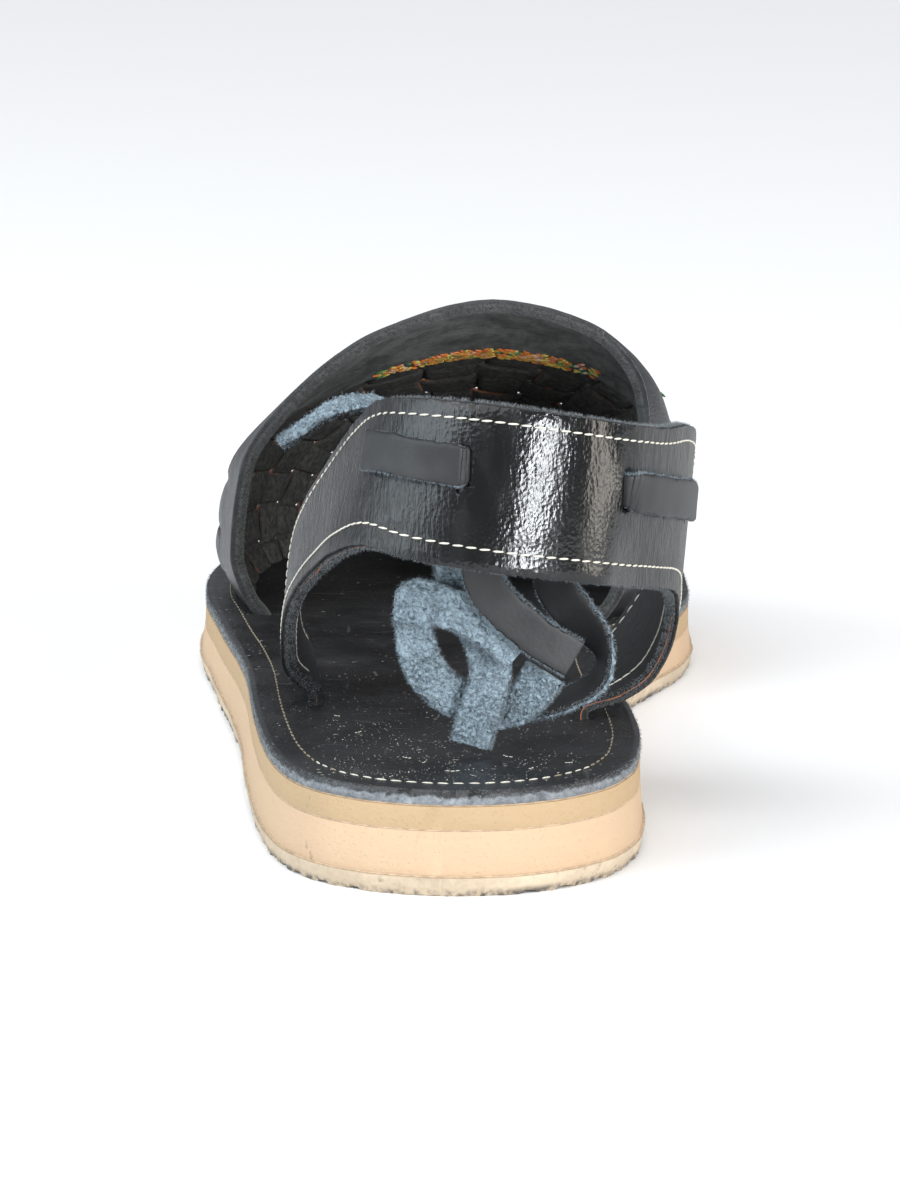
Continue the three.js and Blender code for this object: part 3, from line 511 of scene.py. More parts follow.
def curve_through(values, steps):
    """Points on a smooth curve through values, steps to each span."""
    ends = [values[0] * 2 - values[1], *values, values[-1] * 2 - values[-2]]
    made = []
    for k in range(1, len(values)):
        a, b, c, d = ends[k - 1:k + 3]
        for j in range(steps if k < len(values) - 1 else steps + 1):
            t = j / steps
            made.append(0.5 * (2 * b + (c - a) * t + (2 * a - 5 * b + 4 * c - d) * t * t
                               + (3 * b - 3 * c + d - a) * t * t * t))
    return made


print("points on a sample curve", len(curve_through([Vector((k, 0, 0)) for k in range(3)], 4)))

# %% Strip frames and edges


def optional_column(rows, column, usual):
    """One number of each row, or its usual value where a row leaves it out."""
    return [Vector((row[column] if len(row) > column else usual, 0, 0)) for row in rows]


def strip_frames(rows, steps):
    """Middle, width axis, face axis and spread at each sample of a strip."""
    middle = curve_through([Vector(row[0]) for row in rows], steps)
    faces = curve_through([Vector(row[1]).normalized() for row in rows], steps)
    turns = curve_through(optional_column(rows, 2, 0), steps)
    spreads = curve_through(optional_column(rows, 3, 1), steps)
    shifts = curve_through(optional_column(rows, 4, 0), steps)
    frames = []
    for k, point in enumerate(middle):
        tangent = (middle[min(k + 1, len(middle) - 1)] - middle[max(k - 1, 0)]).normalized()
        width = faces[k].cross(tangent).normalized()
        face = tangent.cross(width).normalized()
        width = Matrix.Rotation(math.radians(turns[k].x), 3, face) @ width
        frames.append((point + width * shifts[k].x, width, face, spreads[k].x))
    return frames


def strip_edges(frames, seed):
    """Both cut edges of a strip. In a sharp turn the inner edge waits instead of going back."""
    edges = []
    for hand in (-1, 1):
        run = []
        for k, (point, across, _, spread) in enumerate(frames):
            wave = noise.noise(Vector((seed + hand, point.y * 0.35, point.z * 0.35)))
            spot = point + across * hand * (THONG_WIDTH / 2 * spread + 0.3 * wave)
            way = point - frames[max(k - 1, 0)][0]
            if run and (spot - run[-1]).dot(way) < 0.02 * way.length_squared:
                spot = run[-1] + way * 0.02
            run.append(spot)
        edges.append(run)
    return edges


sample_frames = strip_frames(FREE_THONGS["lace_end_down"], 4)
print("a strip starts", round(sample_frames[0][0].z, 1), "mm up, ends",
      round(sample_frames[-1][0].z, 1), "mm up")

# %% Strip sheet
CURL_SHIFT = Vector((7, 3, 5))
STRIP_COLUMNS = 36
RAGGED_EDGE = 0.93


def curls_at(point):
    """Height of the curled nap, in millimetres."""
    warp = Vector((noise.noise(point * 0.8), noise.noise(point * 0.8 + CURL_SHIFT), 0)) * 0.9
    fine = abs(noise.noise((point + warp) * 2.3))
    return 0.75 * abs(noise.noise((point + warp) * 1.1)) + 0.35 * fine - 0.25


def strip_piece(name, frames, grain_back, seed, nap=1.0):
    """A leather strip: smooth grain on one skin, curled nap on the other, ragged cut edges."""
    edges = strip_edges(frames, seed)

    def place(u, v, skin):
        k = round(v * (len(frames) - 1))
        left, right, face = edges[0][k], edges[1][k], frames[k][2]
        side = 2 * u - 1
        point = left.lerp(right, u)
        rounding = (1 - abs(side) ** 8) ** 0.5 * 0.7 + 0.3
        lift = (skin - 0.5) * THONG_THICKNESS * rounding
        if not skin:
            lift -= curls_at(point) * nap
        if abs(side) > RAGGED_EDGE:
            ragged = noise.noise(point * 1.9) * 0.45 + noise.noise(point * 0.8) * 0.25
            point = point + (right - left).normalized() * side * ragged * nap
        return point + face * lift * (-1 if grain_back else 1)
    bm = flat_grid(STRIP_COLUMNS, len(frames) - 1)
    bend_sheet(bm, place, (THONG_WIDTH * MM, len(frames) * MM))
    return to_object(name, bm, THONG)


print("curl height at the heel", round(curls_at(Vector((0, 0, 0))), 2), "mm")

# %% Places for nap
FACE_HAIRS = 2300


def edge_hairs(rng, frames, per_step, thickness, hands=(-1, 1)):
    """Places for fibres along the cut edges of a strip."""
    places = []
    for (point, across, face, spread), (after, *_) in zip(frames, frames[1:]):
        for _ in range(per_step):
            side = rng.choice(hands)
            start = point.lerp(after, rng.random())
            lift = face * rng.uniform(-0.5, 0.5) * thickness
            edge = across * side * (THONG_WIDTH / 2 * spread - 0.15)
            places.append((start + edge + lift, across * side))
    return places


def face_hairs(rng, frames, grain_back):
    """Places for fibres all over the nap side of a strip."""
    edges = strip_edges(frames, 0)
    places = []
    for _ in range(FACE_HAIRS):
        k, share = rng.randrange(len(frames)), rng.uniform(0.02, 0.98)
        out = frames[k][2] * (1 if grain_back else -1)
        point = edges[0][k].lerp(edges[1][k], share)
        places.append((point + out * (THONG_THICKNESS / 2 + max(0.0, curls_at(point)) - 0.05), out))
    return places


print("fibres on a thong's face", FACE_HAIRS)

# %% Free thongs
STRIP_STEPS = 20
PATH_STEPS = 5
EDGE_HAIRS_PER_STEP = 15


def make_free_thongs():
    for seed, (name, rows) in enumerate(FREE_THONGS.items()):
        label = name.removeprefix("lace_")
        frames = strip_frames(rows, STRIP_STEPS)
        middle = curve_through([Vector(row[0]) for row in rows], PATH_STEPS)
        path = [(point + HEEL_ORIGIN) * MM for point in middle]
        length = sum((b - a).length for a, b in zip(path, path[1:]))
        back = name in GRAIN_FACES_BACK
        piece = seat(strip_piece("thong_" + label, frames, back, seed * 3.7), "thong_leather", name)
        rng = random.Random(seed)
        edge_places = edge_hairs(rng, frames, EDGE_HAIRS_PER_STEP, THONG_THICKNESS)
        hairs = hair_spots(rng, edge_places, 0.95, 0.09)
        hairs += hair_spots(rng, face_hairs(rng, frames, back), 0.85, 0.085, 1.5)
        nap = seat(scatter("nap_" + label, small_shape("fibre"), hairs, SUEDE_FIBRE),
                   "thong_leather")
        print(name, "length", round(length / MM, 1), "mm")


make_free_thongs()

# %% [markdown]
# Everything stands on the sole, so its heights and its outline come next. The outline could be a
# drawn curve; a table of half widths at shares of the length is easier to check against the
# solid, and is read smoothly, with no overshoot. The toe springs up a little at the front.

# %% Sole outline
SHOE_LENGTH = 250.0
BALL_WIDTH = 93.0
OUTLINE = table("along lateral medial", """
0 0 0
0.0006 0.032 0.0325
0.0025 0.065 0.0665
0.01 0.13 0.133
0.035 0.217 0.231
0.07 0.27 0.298
0.12 0.305 0.336
0.18 0.329 0.346
0.26 0.352 0.335
0.35 0.372 0.305
0.44 0.402 0.295
0.52 0.436 0.325
0.6 0.468 0.4
0.68 0.5 0.475
0.74 0.507 0.497
0.8 0.488 0.495
0.86 0.425 0.467
0.92 0.33 0.395
0.965 0.205 0.295
0.99 0.085 0.185
0.9975 0.0175 0.1175
0.9994 -0.016 0.084
1 -0.05 0.05""")
print("outline rows", len(OUTLINE))

# %% Sole heights
OUTSOLE_THICKNESS = 3.0
WEDGE_AT_HEEL, WEDGE_AT_BALL = 6.9, 4.6
TOP_FOAM_THICKNESS = 3.6
FOOTBED_THICKNESS = 2.4
TOE_SPRING = 6.0
MEETING_GAP = 0.3


def layer_heights(y):
    spring = max(0.0, (y / SHOE_LENGTH - 0.74) / 0.26)
    ground = TOE_SPRING * spring * spring
    wedge = mix(WEDGE_AT_HEEL, WEDGE_AT_BALL, smooth_step(0.25, 0.65, y / SHOE_LENGTH))
    outsole_top = ground + OUTSOLE_THICKNESS
    wedge_top = outsole_top + MEETING_GAP + wedge
    foam_top = wedge_top + MEETING_GAP + TOP_FOAM_THICKNESS
    footbed_bottom = foam_top + MEETING_GAP
    return {
        "ground": ground, "outsole_top": outsole_top, "wedge_bottom": outsole_top + MEETING_GAP,
        "wedge_top": wedge_top, "foam_bottom": wedge_top + MEETING_GAP, "foam_top": foam_top,
        "footbed_bottom": footbed_bottom, "footbed_top": footbed_bottom + FOOTBED_THICKNESS}


print("sole", round(layer_heights(0)["footbed_top"], 1), "mm high at the heel")

# %% Sole sides
SOLE_STEPS = 260


def sole_sides(inset):
    """Both sides of the outline from heel to toe, moved in by inset."""
    places = [(1 - math.cos(math.pi * k / SOLE_STEPS)) / 2 for k in range(SOLE_STEPS + 1)]
    medial, lateral = (
        [Vector((hand * read_table(OUTLINE, "along", side, a) * BALL_WIDTH, a * SHOE_LENGTH, 0))
         for a in places] for side, hand in (("medial", 1), ("lateral", -1)))
    ring = medial + lateral[-2:0:-1]
    count = len(ring)
    moved = []
    for k, point in enumerate(ring):
        way = (ring[(k + 1) % count] - ring[k - 1]).normalized()
        moved.append(point + Vector((-way.y, way.x, 0)) * inset)
    return [moved[0]] + moved[SOLE_STEPS:][::-1], moved[:SOLE_STEPS + 1]


print("sole", round(max(point.x for point in sole_sides(0)[1]), 1), "mm to its inner side")

# %% [markdown]
# The heel strap is two layers of black leather, glued back to back and stitched near both edges.
# A lofted surface could give it, but stitches and thongs have to find their places on it too. So
# its middle surface is worked out between two edge curves, from tables of shares of span, reach
# and height, and kept as a fine net of points and outward directions that everything reads.

# %% Strap tables
STRAP_HALF_SPAN, STRAP_REACH, STRAP_HEIGHT = 32.0, 94.0, 60.0
STRAP_THICKNESS = 2.4
STRAP_WIDTH = 27
STRAP = table("low_across low_forward low_up high_across high_forward high_up", """
-0.68 0.65 0.03 -0.76 1 0.03
-0.8 0.62 0.1 -0.82 0.93 0.14
-0.82 0.555 0.18 -0.83 0.85 0.245
-0.8 0.465 0.31 -0.79 0.745 0.45
-0.73 0.36 0.415 -0.72 0.64 0.575
-0.63 0.265 0.5 -0.575 0.5 0.735
-0.54 0.18 0.56 -0.44 0.35 0.87
-0.39 0.105 0.605 -0.31 0.18 0.97
-0.2 0.065 0.59 -0.15 0.085 1
0.21 0.043 0.565 0.21 0.032 1
0.59 0.085 0.535 0.585 0.058 0.97
0.83 0.17 0.5 0.83 0.13 0.935
1.0 0.29 0.46 1.03 0.26 0.895
1.12 0.42 0.41 1.17 0.44 0.86
1.15 0.52 0.335 1.23 0.65 0.77
1.15 0.56 0.27 1.22 0.76 0.627
1.12 0.58 0.195 1.17 0.83 0.445
1.04 0.59 0.115 1.05 0.87 0.28
0.9 0.58 0.065 0.91 0.89 0.15
0.71 0.565 0.03 0.77 0.9 0.03""")
LACE_SLOTS = {
    "lateral_front": (0.389, 0.645), "lateral_back": (0.47, 0.625),
    "medial_back": (0.597, 0.6), "medial_front": (0.74, 0.55)}
print("strap rows", len(STRAP), "slots", len(LACE_SLOTS))

# %% Strap edge curves


def strap_edge_points(edge):
    points = []
    for row in STRAP:
        forward = row[edge + "_forward"] * STRAP_REACH
        up = layer_heights(forward)["footbed_top"] + row[edge + "_up"] * STRAP_HEIGHT
        points.append(Vector((row[edge + "_across"] * STRAP_HALF_SPAN, forward, up)))
    ends = [Vector((p.x, p.y, layer_heights(p.y)["footbed_bottom"] + MEETING_GAP))
            for p in (points[0], points[-1])]
    return [ends[0], *points, ends[1]]


def centripetal(points, share):
    """A point on the rounded curve through points at a share of its rows."""
    place = clamp(share) * (len(points) - 1)
    k = min(int(place), len(points) - 2)
    t = place - k
    b, c = points[k], points[k + 1]
    a = points[k - 1] if k > 0 else b * 2 - c
    d = points[k + 2] if k + 2 < len(points) else c * 2 - b
    spans = [max((q - p).length ** 0.5, 1e-4) for p, q in ((a, b), (b, c), (c, d))]
    start = ((b - a) / spans[0] - (c - a) / (spans[0] + spans[1]) + (c - b) / spans[1]) * spans[1]
    end = ((c - b) / spans[1] - (d - b) / (spans[1] + spans[2]) + (d - c) / spans[2]) * spans[1]
    cubic = 2 * b - 2 * c + start + end
    square = 3 * c - 3 * b - 2 * start - end
    return b + start * t + square * t * t + cubic * t * t * t


STRAP_EDGES = [strap_edge_points("low"), strap_edge_points("high")]
strap_middles = [low.lerp(high, 0.5) for low, high in zip(*STRAP_EDGES)]
strap_places = [0.0]
for before, after in zip(strap_middles, strap_middles[1:]):
    strap_places.append(strap_places[-1] + (after - before).length)
STRAP_LENGTH = strap_places[-1]
print("strap", round(STRAP_LENGTH, 1), "mm long")

# %% Strap net
STRAP_SPACING = [{"along": place / STRAP_LENGTH, "row": k / (len(strap_places) - 1)}
                 for k, place in enumerate(strap_places)]


def strap_middle(along, up):
    row = read_table(STRAP_SPACING, "along", "row", along)
    low, high = (centripetal(edge, row) for edge in STRAP_EDGES)
    return low.lerp(high, up)


class Net:
    """A surface kept as a fine net of points and outward directions."""

    def __init__(self, columns, rows, point, normal):
        self.size = (columns, rows)
        self.points = [[point(i / columns, j / rows) for j in range(rows + 1)]
                       for i in range(columns + 1)]
        self.normals = [[normal(i / columns, j / rows) for j in range(rows + 1)]
                        for i in range(columns + 1)]

    def read(self, u, v):
        x, y = clamp(u) * self.size[0], clamp(v) * self.size[1]
        i, j = min(int(x), self.size[0] - 1), min(int(y), self.size[1] - 1)
        s, t = x - i, y - j
        found = []
        for net in (self.points, self.normals):
            near = net[i][j].lerp(net[i + 1][j], s)
            far = net[i][j + 1].lerp(net[i + 1][j + 1], s)
            found.append(near.lerp(far, t))
        return found[0], found[1].normalized()

    def at(self, u, v, lift):
        point, normal = self.read(u, v)
        return point + normal * lift


def strap_normal(along, up):
    a = clamp(along, 0.004, 0.996)
    tangent = (strap_middle(a + 0.004, up) - strap_middle(a - 0.004, up)).normalized()
    rise = (strap_middle(a, 1) - strap_middle(a, 0)).normalized()
    return tangent.cross(rise).normalized()


strap_net = Net(260, 6, strap_middle, strap_normal)
print("strap net", strap_net.size)

# %% [markdown]
# Strap leather is black and glossy, with fine crinkles across the strap and a duller nap inside,
# whose colour is darker in random patches and, as painted shade, in the hollows of the nap. Round
# the middle of the back the real strap bulges a little, which throws its highlights up. Bending
# the sheet so would spoil its fit to the solid, so the bump height falls and bows there instead,
# and leans only the shading. At both sides the gloss is satin, with longer upright wrinkles, and a
# painted sheen makes the colour lighter along them. Between the layers shows a line of glue and
# raw leather, orange where it wore through.

# %% Glossy leather
GLOSS_DEPTH = 0.0003
LEAN_SLOPE = 0.222 * STRAP_WIDTH * MM / GLOSS_DEPTH
LEAN_BOW = 2.06 * (STRAP_WIDTH * MM) ** 2 / GLOSS_DEPTH
RIM_TONE = (0.028, 0.029, 0.029)
# Painted sheen along the upright wrinkles at both sides of the strap.
PAINTED_WRINKLE_SHEEN = (0.04, 0.042, 0.045)


def gloss_leather(name, dark, light, rough, crinkle, flesh=(0.05, 0.056, 0.062), lean=False):
    """Glossy leather outside, nap inside. lean tips the gloss up round the middle of the strap."""
    finish = Finish(name, Specular_IOR_Level=0.5)
    where = finish.place("UV")
    solid = finish.place()
    side = finish.attribute("side").band(0.35, 0.75)
    creases = finish.grain(finish.stretch(where, (1, 0.22, 1)), 1100, 3, 0.6)
    broad = finish.grain(finish.stretch(where, (1, 0.35, 1)), 260, 2)
    pebbles = finish.cells(solid, 1500)
    nap = finish.grain(solid, 900, 4, 0.7)
    tone = finish.blend(broad.band(0.35, 0.75), dark, light)
    patches = finish.grain(solid, 170, 4, 0.65)
    # Painted shade: a dark copy of the flesh colour fills the nap's hollows, and random patches.
    dark_patch_and_shade_flesh = tuple(v * 0.3 for v in flesh)
    inside = finish.blend((nap * 0.5 + patches).band(0.5, 1.0), dark_patch_and_shade_flesh, flesh)
    edge = finish.attribute("edge").band(0.6, 0.95) * (1 - side)
    outer = creases * crinkle + broad * crinkle * 0.5 + pebbles * 0.14
    if lean:
        across, along = finish.attribute("across"), finish.attribute("along")
        upright = finish.grain(finish.stretch(where, (1, 0.16, 1)), 1300, 3, 0.6)
        satin = 1 - across.band(0.4, 0.48) + across.band(0.58, 0.64)
        outer = outer + upright * satin * 2.0
        # Painted sheen: on both sides the colour is lighter along the upright wrinkle ridges.
        tone = finish.blend(upright.band(0.42, 0.7) * satin * 0.7, tone, PAINTED_WRINKLE_SHEEN)
        rough = rough + satin * 0.24
        middle = across.band(0.24, 0.42) * (1 - across.band(0.57, 0.62))
        rise = along - 0.5
        outer = outer - (rise * LEAN_SLOPE + rise * rise * LEAN_BOW) * middle
    body = finish.blend(side, inside, tone)
    finish.feed("Base Color", finish.blend(edge * 0.75, body, RIM_TONE))
    worn = broad.band(0.45, 0.7) * side * 0.06
    finish.feed("Roughness", (0.85 - side * (0.85 - rough) + worn).clamp())
    finish.bump(outer * side + nap * (1 - side) * 1.2, GLOSS_DEPTH)
    return finish.material


print("gloss relief", round(GLOSS_DEPTH / MM, 2), "mm")

# %% Plain finishes
PLAIN_DEPTH = 0.0001


def plain_finish(name, colour, rough, scale=700, spread=0.35):
    """One colour with a fine mottle, for thread, glue and dust."""
    finish = Finish(name)
    where = finish.place()
    mottle = finish.grain(where, scale, 3)
    darker = tuple(v * (1 - spread) for v in colour)
    finish.feed("Base Color", finish.blend(mottle.band(0.25, 0.75), darker, colour))
    finish.feed("Roughness", mottle * 0.15 + (rough - 0.07))
    finish.bump(mottle, PLAIN_DEPTH)
    return finish.material


def core_finish():
    """The line between the two layers: orange where it wore through, else dull brown."""
    finish = Finish("leather_core", Roughness=0.85)
    across, along = finish.attribute("across"), finish.attribute("along")
    patches = finish.grain(finish.place(), 160, 3)
    low = 1 - along.band(0.3, 0.5)
    shown = (across.band(0.2, 0.27) * (1 - across.band(0.42, 0.5)) + across.band(0.82, 0.88)) * low
    shown = (shown + patches.band(0.56, 0.66) * 0.5).clamp()
    finish.feed("Base Color", finish.blend(shown * 0.85, (0.05, 0.042, 0.038), (0.4, 0.13, 0.055)))
    finish.bump(patches, 0.0002)
    return finish.material


STRAP_LEATHER = gloss_leather(
    "strap_leather", (0.004, 0.004, 0.004), (0.009, 0.009, 0.009), 0.15, 0.3, lean=True)
STRAP_FLESH = suede_finish("strap_flesh", (0.008, 0.008, 0.009), (0.035, 0.036, 0.038), sheen=0.0)
GLUE_LINE = core_finish()
THREAD = plain_finish("white_thread", (0.72, 0.68, 0.58), 0.6, 2500, 0.25)
EDGE_FIBRE = suede_finish("edge_fibre", (0.08, 0.095, 0.105), (0.3, 0.33, 0.35))
print("finishes", [finish.name for finish in (STRAP_LEATHER, STRAP_FLESH, GLUE_LINE, THREAD)])

# %% [markdown]
# Each layer of the strap is one grid on the strap's own chart. The slots for the thongs could be
# cut with a Boolean on the bent strap; on the flat chart they are four straight cuts each and a
# face to delete. The seams pull the leather in a little, and both long edges are cut by hand, so
# they wave.

# %% Strap layers
SLOT_PLAY_ALONG, SLOT_PLAY_UP = 0.05, 0.3
TOP_STITCH_INSET, LOW_STITCH_INSET = 2.4, 3.5
LAYER_LAP = 0.08


def slotted_strap(name, low_depth, high_depth, finish, margin=0.0):
    """One layer of the strap, with its four slots cut through."""
    bm = flat_grid(300, 14)
    half_along = (THONG_THICKNESS + SLOT_PLAY_ALONG) / 2 / STRAP_LENGTH
    half_up = (THONG_WIDTH + SLOT_PLAY_UP) / 2 / STRAP_WIDTH
    for along, up in LACE_SLOTS.values():
        lines = [((along - half_along, 0, 0), (1, 0, 0)), ((along + half_along, 0, 0), (1, 0, 0)),
                 ((0, up - half_up, 0), (0, 1, 0)), ((0, up + half_up, 0), (0, 1, 0))]
        for spot, way in lines:
            near = [face for face in bm.faces
                    if abs(face.calc_center_median().x - along) < 0.03
                    and abs(face.calc_center_median().y - up) < 0.25]
            geom = {item for face in near for item in (face, *face.edges, *face.verts)}
            bmesh.ops.bisect_plane(bm, geom=list(geom), dist=1e-6, plane_co=spot, plane_no=way)
        inside = [face for face in bm.faces
                  if abs(face.calc_center_median().x - along) < half_along
                  and abs(face.calc_center_median().y - up) < half_up]
        bmesh.ops.delete(bm, geom=inside, context="FACES")

    def place(u, v, skin):
        point, normal = strap_net.read(u, v)
        crease = 0.05 * noise.noise(Vector((u * 60, v * 2.2, 3.1)))
        crease += 0.03 * noise.noise(Vector((u * 200, v * 3.5, 8.4)))
        inset = TOP_STITCH_INSET if v > 0.5 else LOW_STITCH_INSET
        pucker = 0.12 * math.exp(-((min(v, 1 - v) * STRAP_WIDTH - inset) / 0.9) ** 2)
        ragged = 0.25 * noise.noise(Vector((u * 240, v * 3, 1.7))) * (abs(2 * v - 1) > 0.97)
        rise = (strap_net.read(u, 1)[0] - strap_net.read(u, 0)[0]).normalized()
        outward = 1 if v > 0.5 else -1
        lift = mix(low_depth, high_depth, skin) + crease * 0.8
        lift -= pucker * (skin if high_depth > 0 else 0)
        return point + normal * lift + rise * outward * (ragged + margin * (abs(2 * v - 1) > 0.99))
    bend_sheet(bm, place, (STRAP_LENGTH * MM, STRAP_WIDTH * MM), rim=0.22, closed_ends=True)
    return to_object(name, bm, finish)


seat(slotted_strap("strap_outer_layer", LAYER_LAP, STRAP_THICKNESS / 2, STRAP_LEATHER),
     "strap_leather", "heel_strap")
seat(slotted_strap("strap_inner_layer", -LAYER_LAP, -STRAP_THICKNESS / 2, STRAP_FLESH),
     "strap_leather")
seat(slotted_strap("strap_core", -0.1, 0.1, GLUE_LINE, margin=0.06), "strap_leather")

# %% [markdown]
# White thread runs along both edges and shows on both faces. A curve with a bevel would be a
# smooth wire; single beads, each a little aslant, read as stitches. The cut edges end in short
# fibres.

# %% Strap stitches
STRAP_STITCH_PITCH = 2.0
STRAP_STITCH_SIZE = (0.36, 1.86, 0.34)


def strap_spot(along, up, lift):
    point, normal = strap_net.read(along, up)
    ahead, _ = strap_net.read(min(along + 0.004, 1), up)
    behind, _ = strap_net.read(max(along - 0.004, 0), up)
    side, tangent, out = frame_on(normal, ahead - behind)
    return point + out * lift, side, tangent, out


def stitch_run(net_spot, start, end, pitch_share, size):
    """Stitches side by side along a run; size is width, length and height in millimetres."""
    spots = []
    count = int((end - start) / pitch_share)
    rng = random.Random(count)
    for k in range(count):
        origin, side, tangent, out = net_spot(start + (k + 0.5) * pitch_share)
        slant = 0.08 + rng.uniform(-0.04, 0.04)
        spots.append((origin, side + tangent * slant, tangent - side * slant, out))
    return [(o, s * size[0], t * size[1], n * size[2]) for o, s, t, n in spots]


def strap_width_at(along):
    return (strap_net.read(along, 1)[0] - strap_net.read(along, 0)[0]).length


def strap_stitches():
    spots = []
    pitch = STRAP_STITCH_PITCH / STRAP_LENGTH
    for edge in (0, 1):
        for skin in (1, -1):
            def spot(along, edge=edge, skin=skin):
                inset = TOP_STITCH_INSET if edge else LOW_STITCH_INSET
                share = inset / strap_width_at(along)
                up = share if edge == 0 else 1 - share
                return strap_spot(along, up, skin * (STRAP_THICKNESS / 2 + 0.02))
            spots += stitch_run(spot, 0.035, 0.965, pitch, STRAP_STITCH_SIZE)
    return spots


seat(scatter("strap_stitches", small_shape("bead"), strap_stitches(), THREAD),
     "strap_leather")

# %% Strap edge nap
STRAP_EDGE_HAIRS = 14000


def strap_fuzz():
    """Short fibres along both cut edges, in patches."""
    rng = random.Random(5)
    places = []
    while len(places) < STRAP_EDGE_HAIRS:
        along, edge = rng.uniform(0.02, 0.98), rng.choice((0, 1))
        if noise.noise(Vector((along * 160, edge * 9, 2))) < rng.uniform(-0.5, 0.35):
            continue
        origin, _, _, out = strap_spot(along, edge, rng.uniform(-1.15, 0.5))
        rise = (strap_net.read(along, 1)[0] - strap_net.read(along, 0)[0]).normalized()
        places.append((origin, rise * (1 if edge else -1) - out * 0.15))
    return hair_spots(rng, places, 0.8, 0.078)


seat(scatter("strap_edge_nap", small_shape("fibre"), strap_fuzz(), EDGE_FIBRE),
     "strap_leather")

# %% [markdown]
# Two short thongs lie along the outside of the strap, each out through one slot and in through
# the next, like a stitch of a very thick thread. They are strips like the free ones, but their
# rows are worked out from the strap's net, so that they turn about the edges of their slots.

# %% Thong bars
THONG_BEND = 1.15
THONG_TAIL = 1.6
BAR_FUZZY_EDGE = {"left": (-1,), "right": (1,)}


def bar_frames(start, end):
    """Strip frames from inside one slot, along the outside, to inside the next."""
    outside = STRAP_THICKNESS / 2 + THONG_BEND
    bend_share = THONG_BEND / STRAP_LENGTH
    rows = []

    def put(along, depth):
        share = clamp((along - start[0]) / (end[0] - start[0]))
        up = mix(start[1], end[1], share)
        rise = (strap_net.read(along, 1)[0] - strap_net.read(along, 0)[0]).normalized()
        rows.append([strap_net.at(along, up, depth), rise])
    bend = [math.radians(a) for a in (0, 30, 60, 90)]
    put(start[0], -STRAP_THICKNESS / 2 - THONG_TAIL)
    for angle in bend:
        put(start[0] + bend_share * (1 - math.cos(angle)),
            STRAP_THICKNESS / 2 + THONG_BEND * math.sin(angle))
    steps = math.ceil((end[0] - start[0]) * STRAP_LENGTH / 4)
    for k in range(1, steps):
        put(mix(start[0] + bend_share, end[0] - bend_share, k / steps), outside)
    for angle in reversed(bend):
        put(end[0] - bend_share * (1 - math.cos(angle)),
            STRAP_THICKNESS / 2 + THONG_BEND * math.sin(angle))
    put(end[0], -STRAP_THICKNESS / 2 - THONG_TAIL)
    middle = curve_through([row[0] for row in rows], 6)
    rises = curve_through([row[1] for row in rows], 6)
    frames = []
    for k, point in enumerate(middle):
        tangent = (middle[min(k + 1, len(middle) - 1)] - middle[max(k - 1, 0)]).normalized()
        face = tangent.cross(rises[k]).normalized()
        share = k / (len(middle) - 1)
        spread = 1 - 0.16 * (1 - smooth_step(0.0, 0.3, min(share, 1 - share)))
        frames.append((point, face.cross(tangent).normalized(), face, spread))
    return frames


for label, ends in (("left", ("lateral_front", "lateral_back")),
                    ("right", ("medial_back", "medial_front"))):
    frames = bar_frames(*(LACE_SLOTS[end] for end in ends))
    seat(strip_piece("thong_bar_" + label, frames, False, 11.3, nap=0.5), "thong_leather",
         "lace_bar_" + label)
    rng = random.Random(21)
    hairs = hair_spots(rng, edge_hairs(rng, frames, 10, 0.9), 0.3, 0.06)
    long_places = edge_hairs(rng, frames, 10, 1.1, BAR_FUZZY_EDGE[label])
    hairs += hair_spots(rng, long_places, 0.75, 0.07)
    seat(scatter("nap_bar_" + label, small_shape("fibre"), hairs, SUEDE_FIBRE),
         "thong_leather")

# %% [markdown]
# The sole is a stack of glued sheets: a thin rubber outsole, a light foam wedge, a thin layer of
# darker foam and the leather footbed. Foam is dull, with pores, long sanding marks and a few
# scuffs near one spot of the heel. Rubber is dull too, with flecks, and darker in patches towards
# the ground.

# %% Sole finishes
SCUFF_SPOT = (-22.0, 22.0, 9.0)
SCUFF_TONE = (0.09, 0.075, 0.06)


def foam_finish(name, colour, dark, scuffs):
    finish = Finish(name, Roughness=0.85, Specular_IOR_Level=0.3)
    where = finish.place()
    pores = finish.cells(where, 1400)
    fine = finish.grain(where, 1500, 3)
    sanding = finish.grain(finish.stretch(where, (1, 1, 6)), 130, 3)
    broad = finish.grain(where, 45, 3)
    tone = (sanding * 0.35 + broad * 0.4 + fine * 0.3 - 0.15).clamp()
    base = finish.blend(tone, dark, colour)
    specks = finish.grain(finish.stretch(where, (1, 1, 0.6)), 260, 4, 0.7).band(0.64, 0.74)
    spot = finish.node("ShaderNodeVectorMath", {"operation": "DISTANCE"}, where,
                       tuple((Vector(SCUFF_SPOT) + HEEL_ORIGIN) * MM), output=1)
    near = 1 - spot.band(0.006, 0.02)
    marks = (specks * (near * scuffs + 0.1)).clamp()
    finish.feed("Base Color", finish.blend(marks, base, SCUFF_TONE))
    finish.bump(fine * 0.5 + (1 - pores.band(0.0, 0.35)) * -0.4 + sanding * 0.4, 0.00018)
    return finish.material


def rubber_finish():
    finish = Finish("outsole_rubber", Roughness=0.8)
    where = finish.place()
    broad = finish.grain(where, 60, 4)
    fine = finish.grain(where, 900, 3)
    flecks = finish.grain(where, 420, 3, 0.7).band(0.62, 0.72)
    tone = (broad * 0.7 + fine * 0.3).band(0.3, 0.7)
    base = finish.blend(tone, (0.42, 0.335, 0.24), (0.6, 0.485, 0.355))
    worn = finish.blend(flecks * 0.55, base, (0.16, 0.13, 0.1))
    height = finish.node("ShaderNodeSeparateXYZ", {}, where, output=2)
    # Darker in patches in the lowest 1.6 mm, towards the ground.
    darker_bottom_patches = (1 - height.band(0.0003, 0.0016)) * (broad + fine).band(0.8, 1.15)
    finish.feed("Base Color", finish.blend(darker_bottom_patches, worn, (0.1, 0.085, 0.07)))
    finish.bump(fine + flecks * -0.6, 0.00016)
    return finish.material


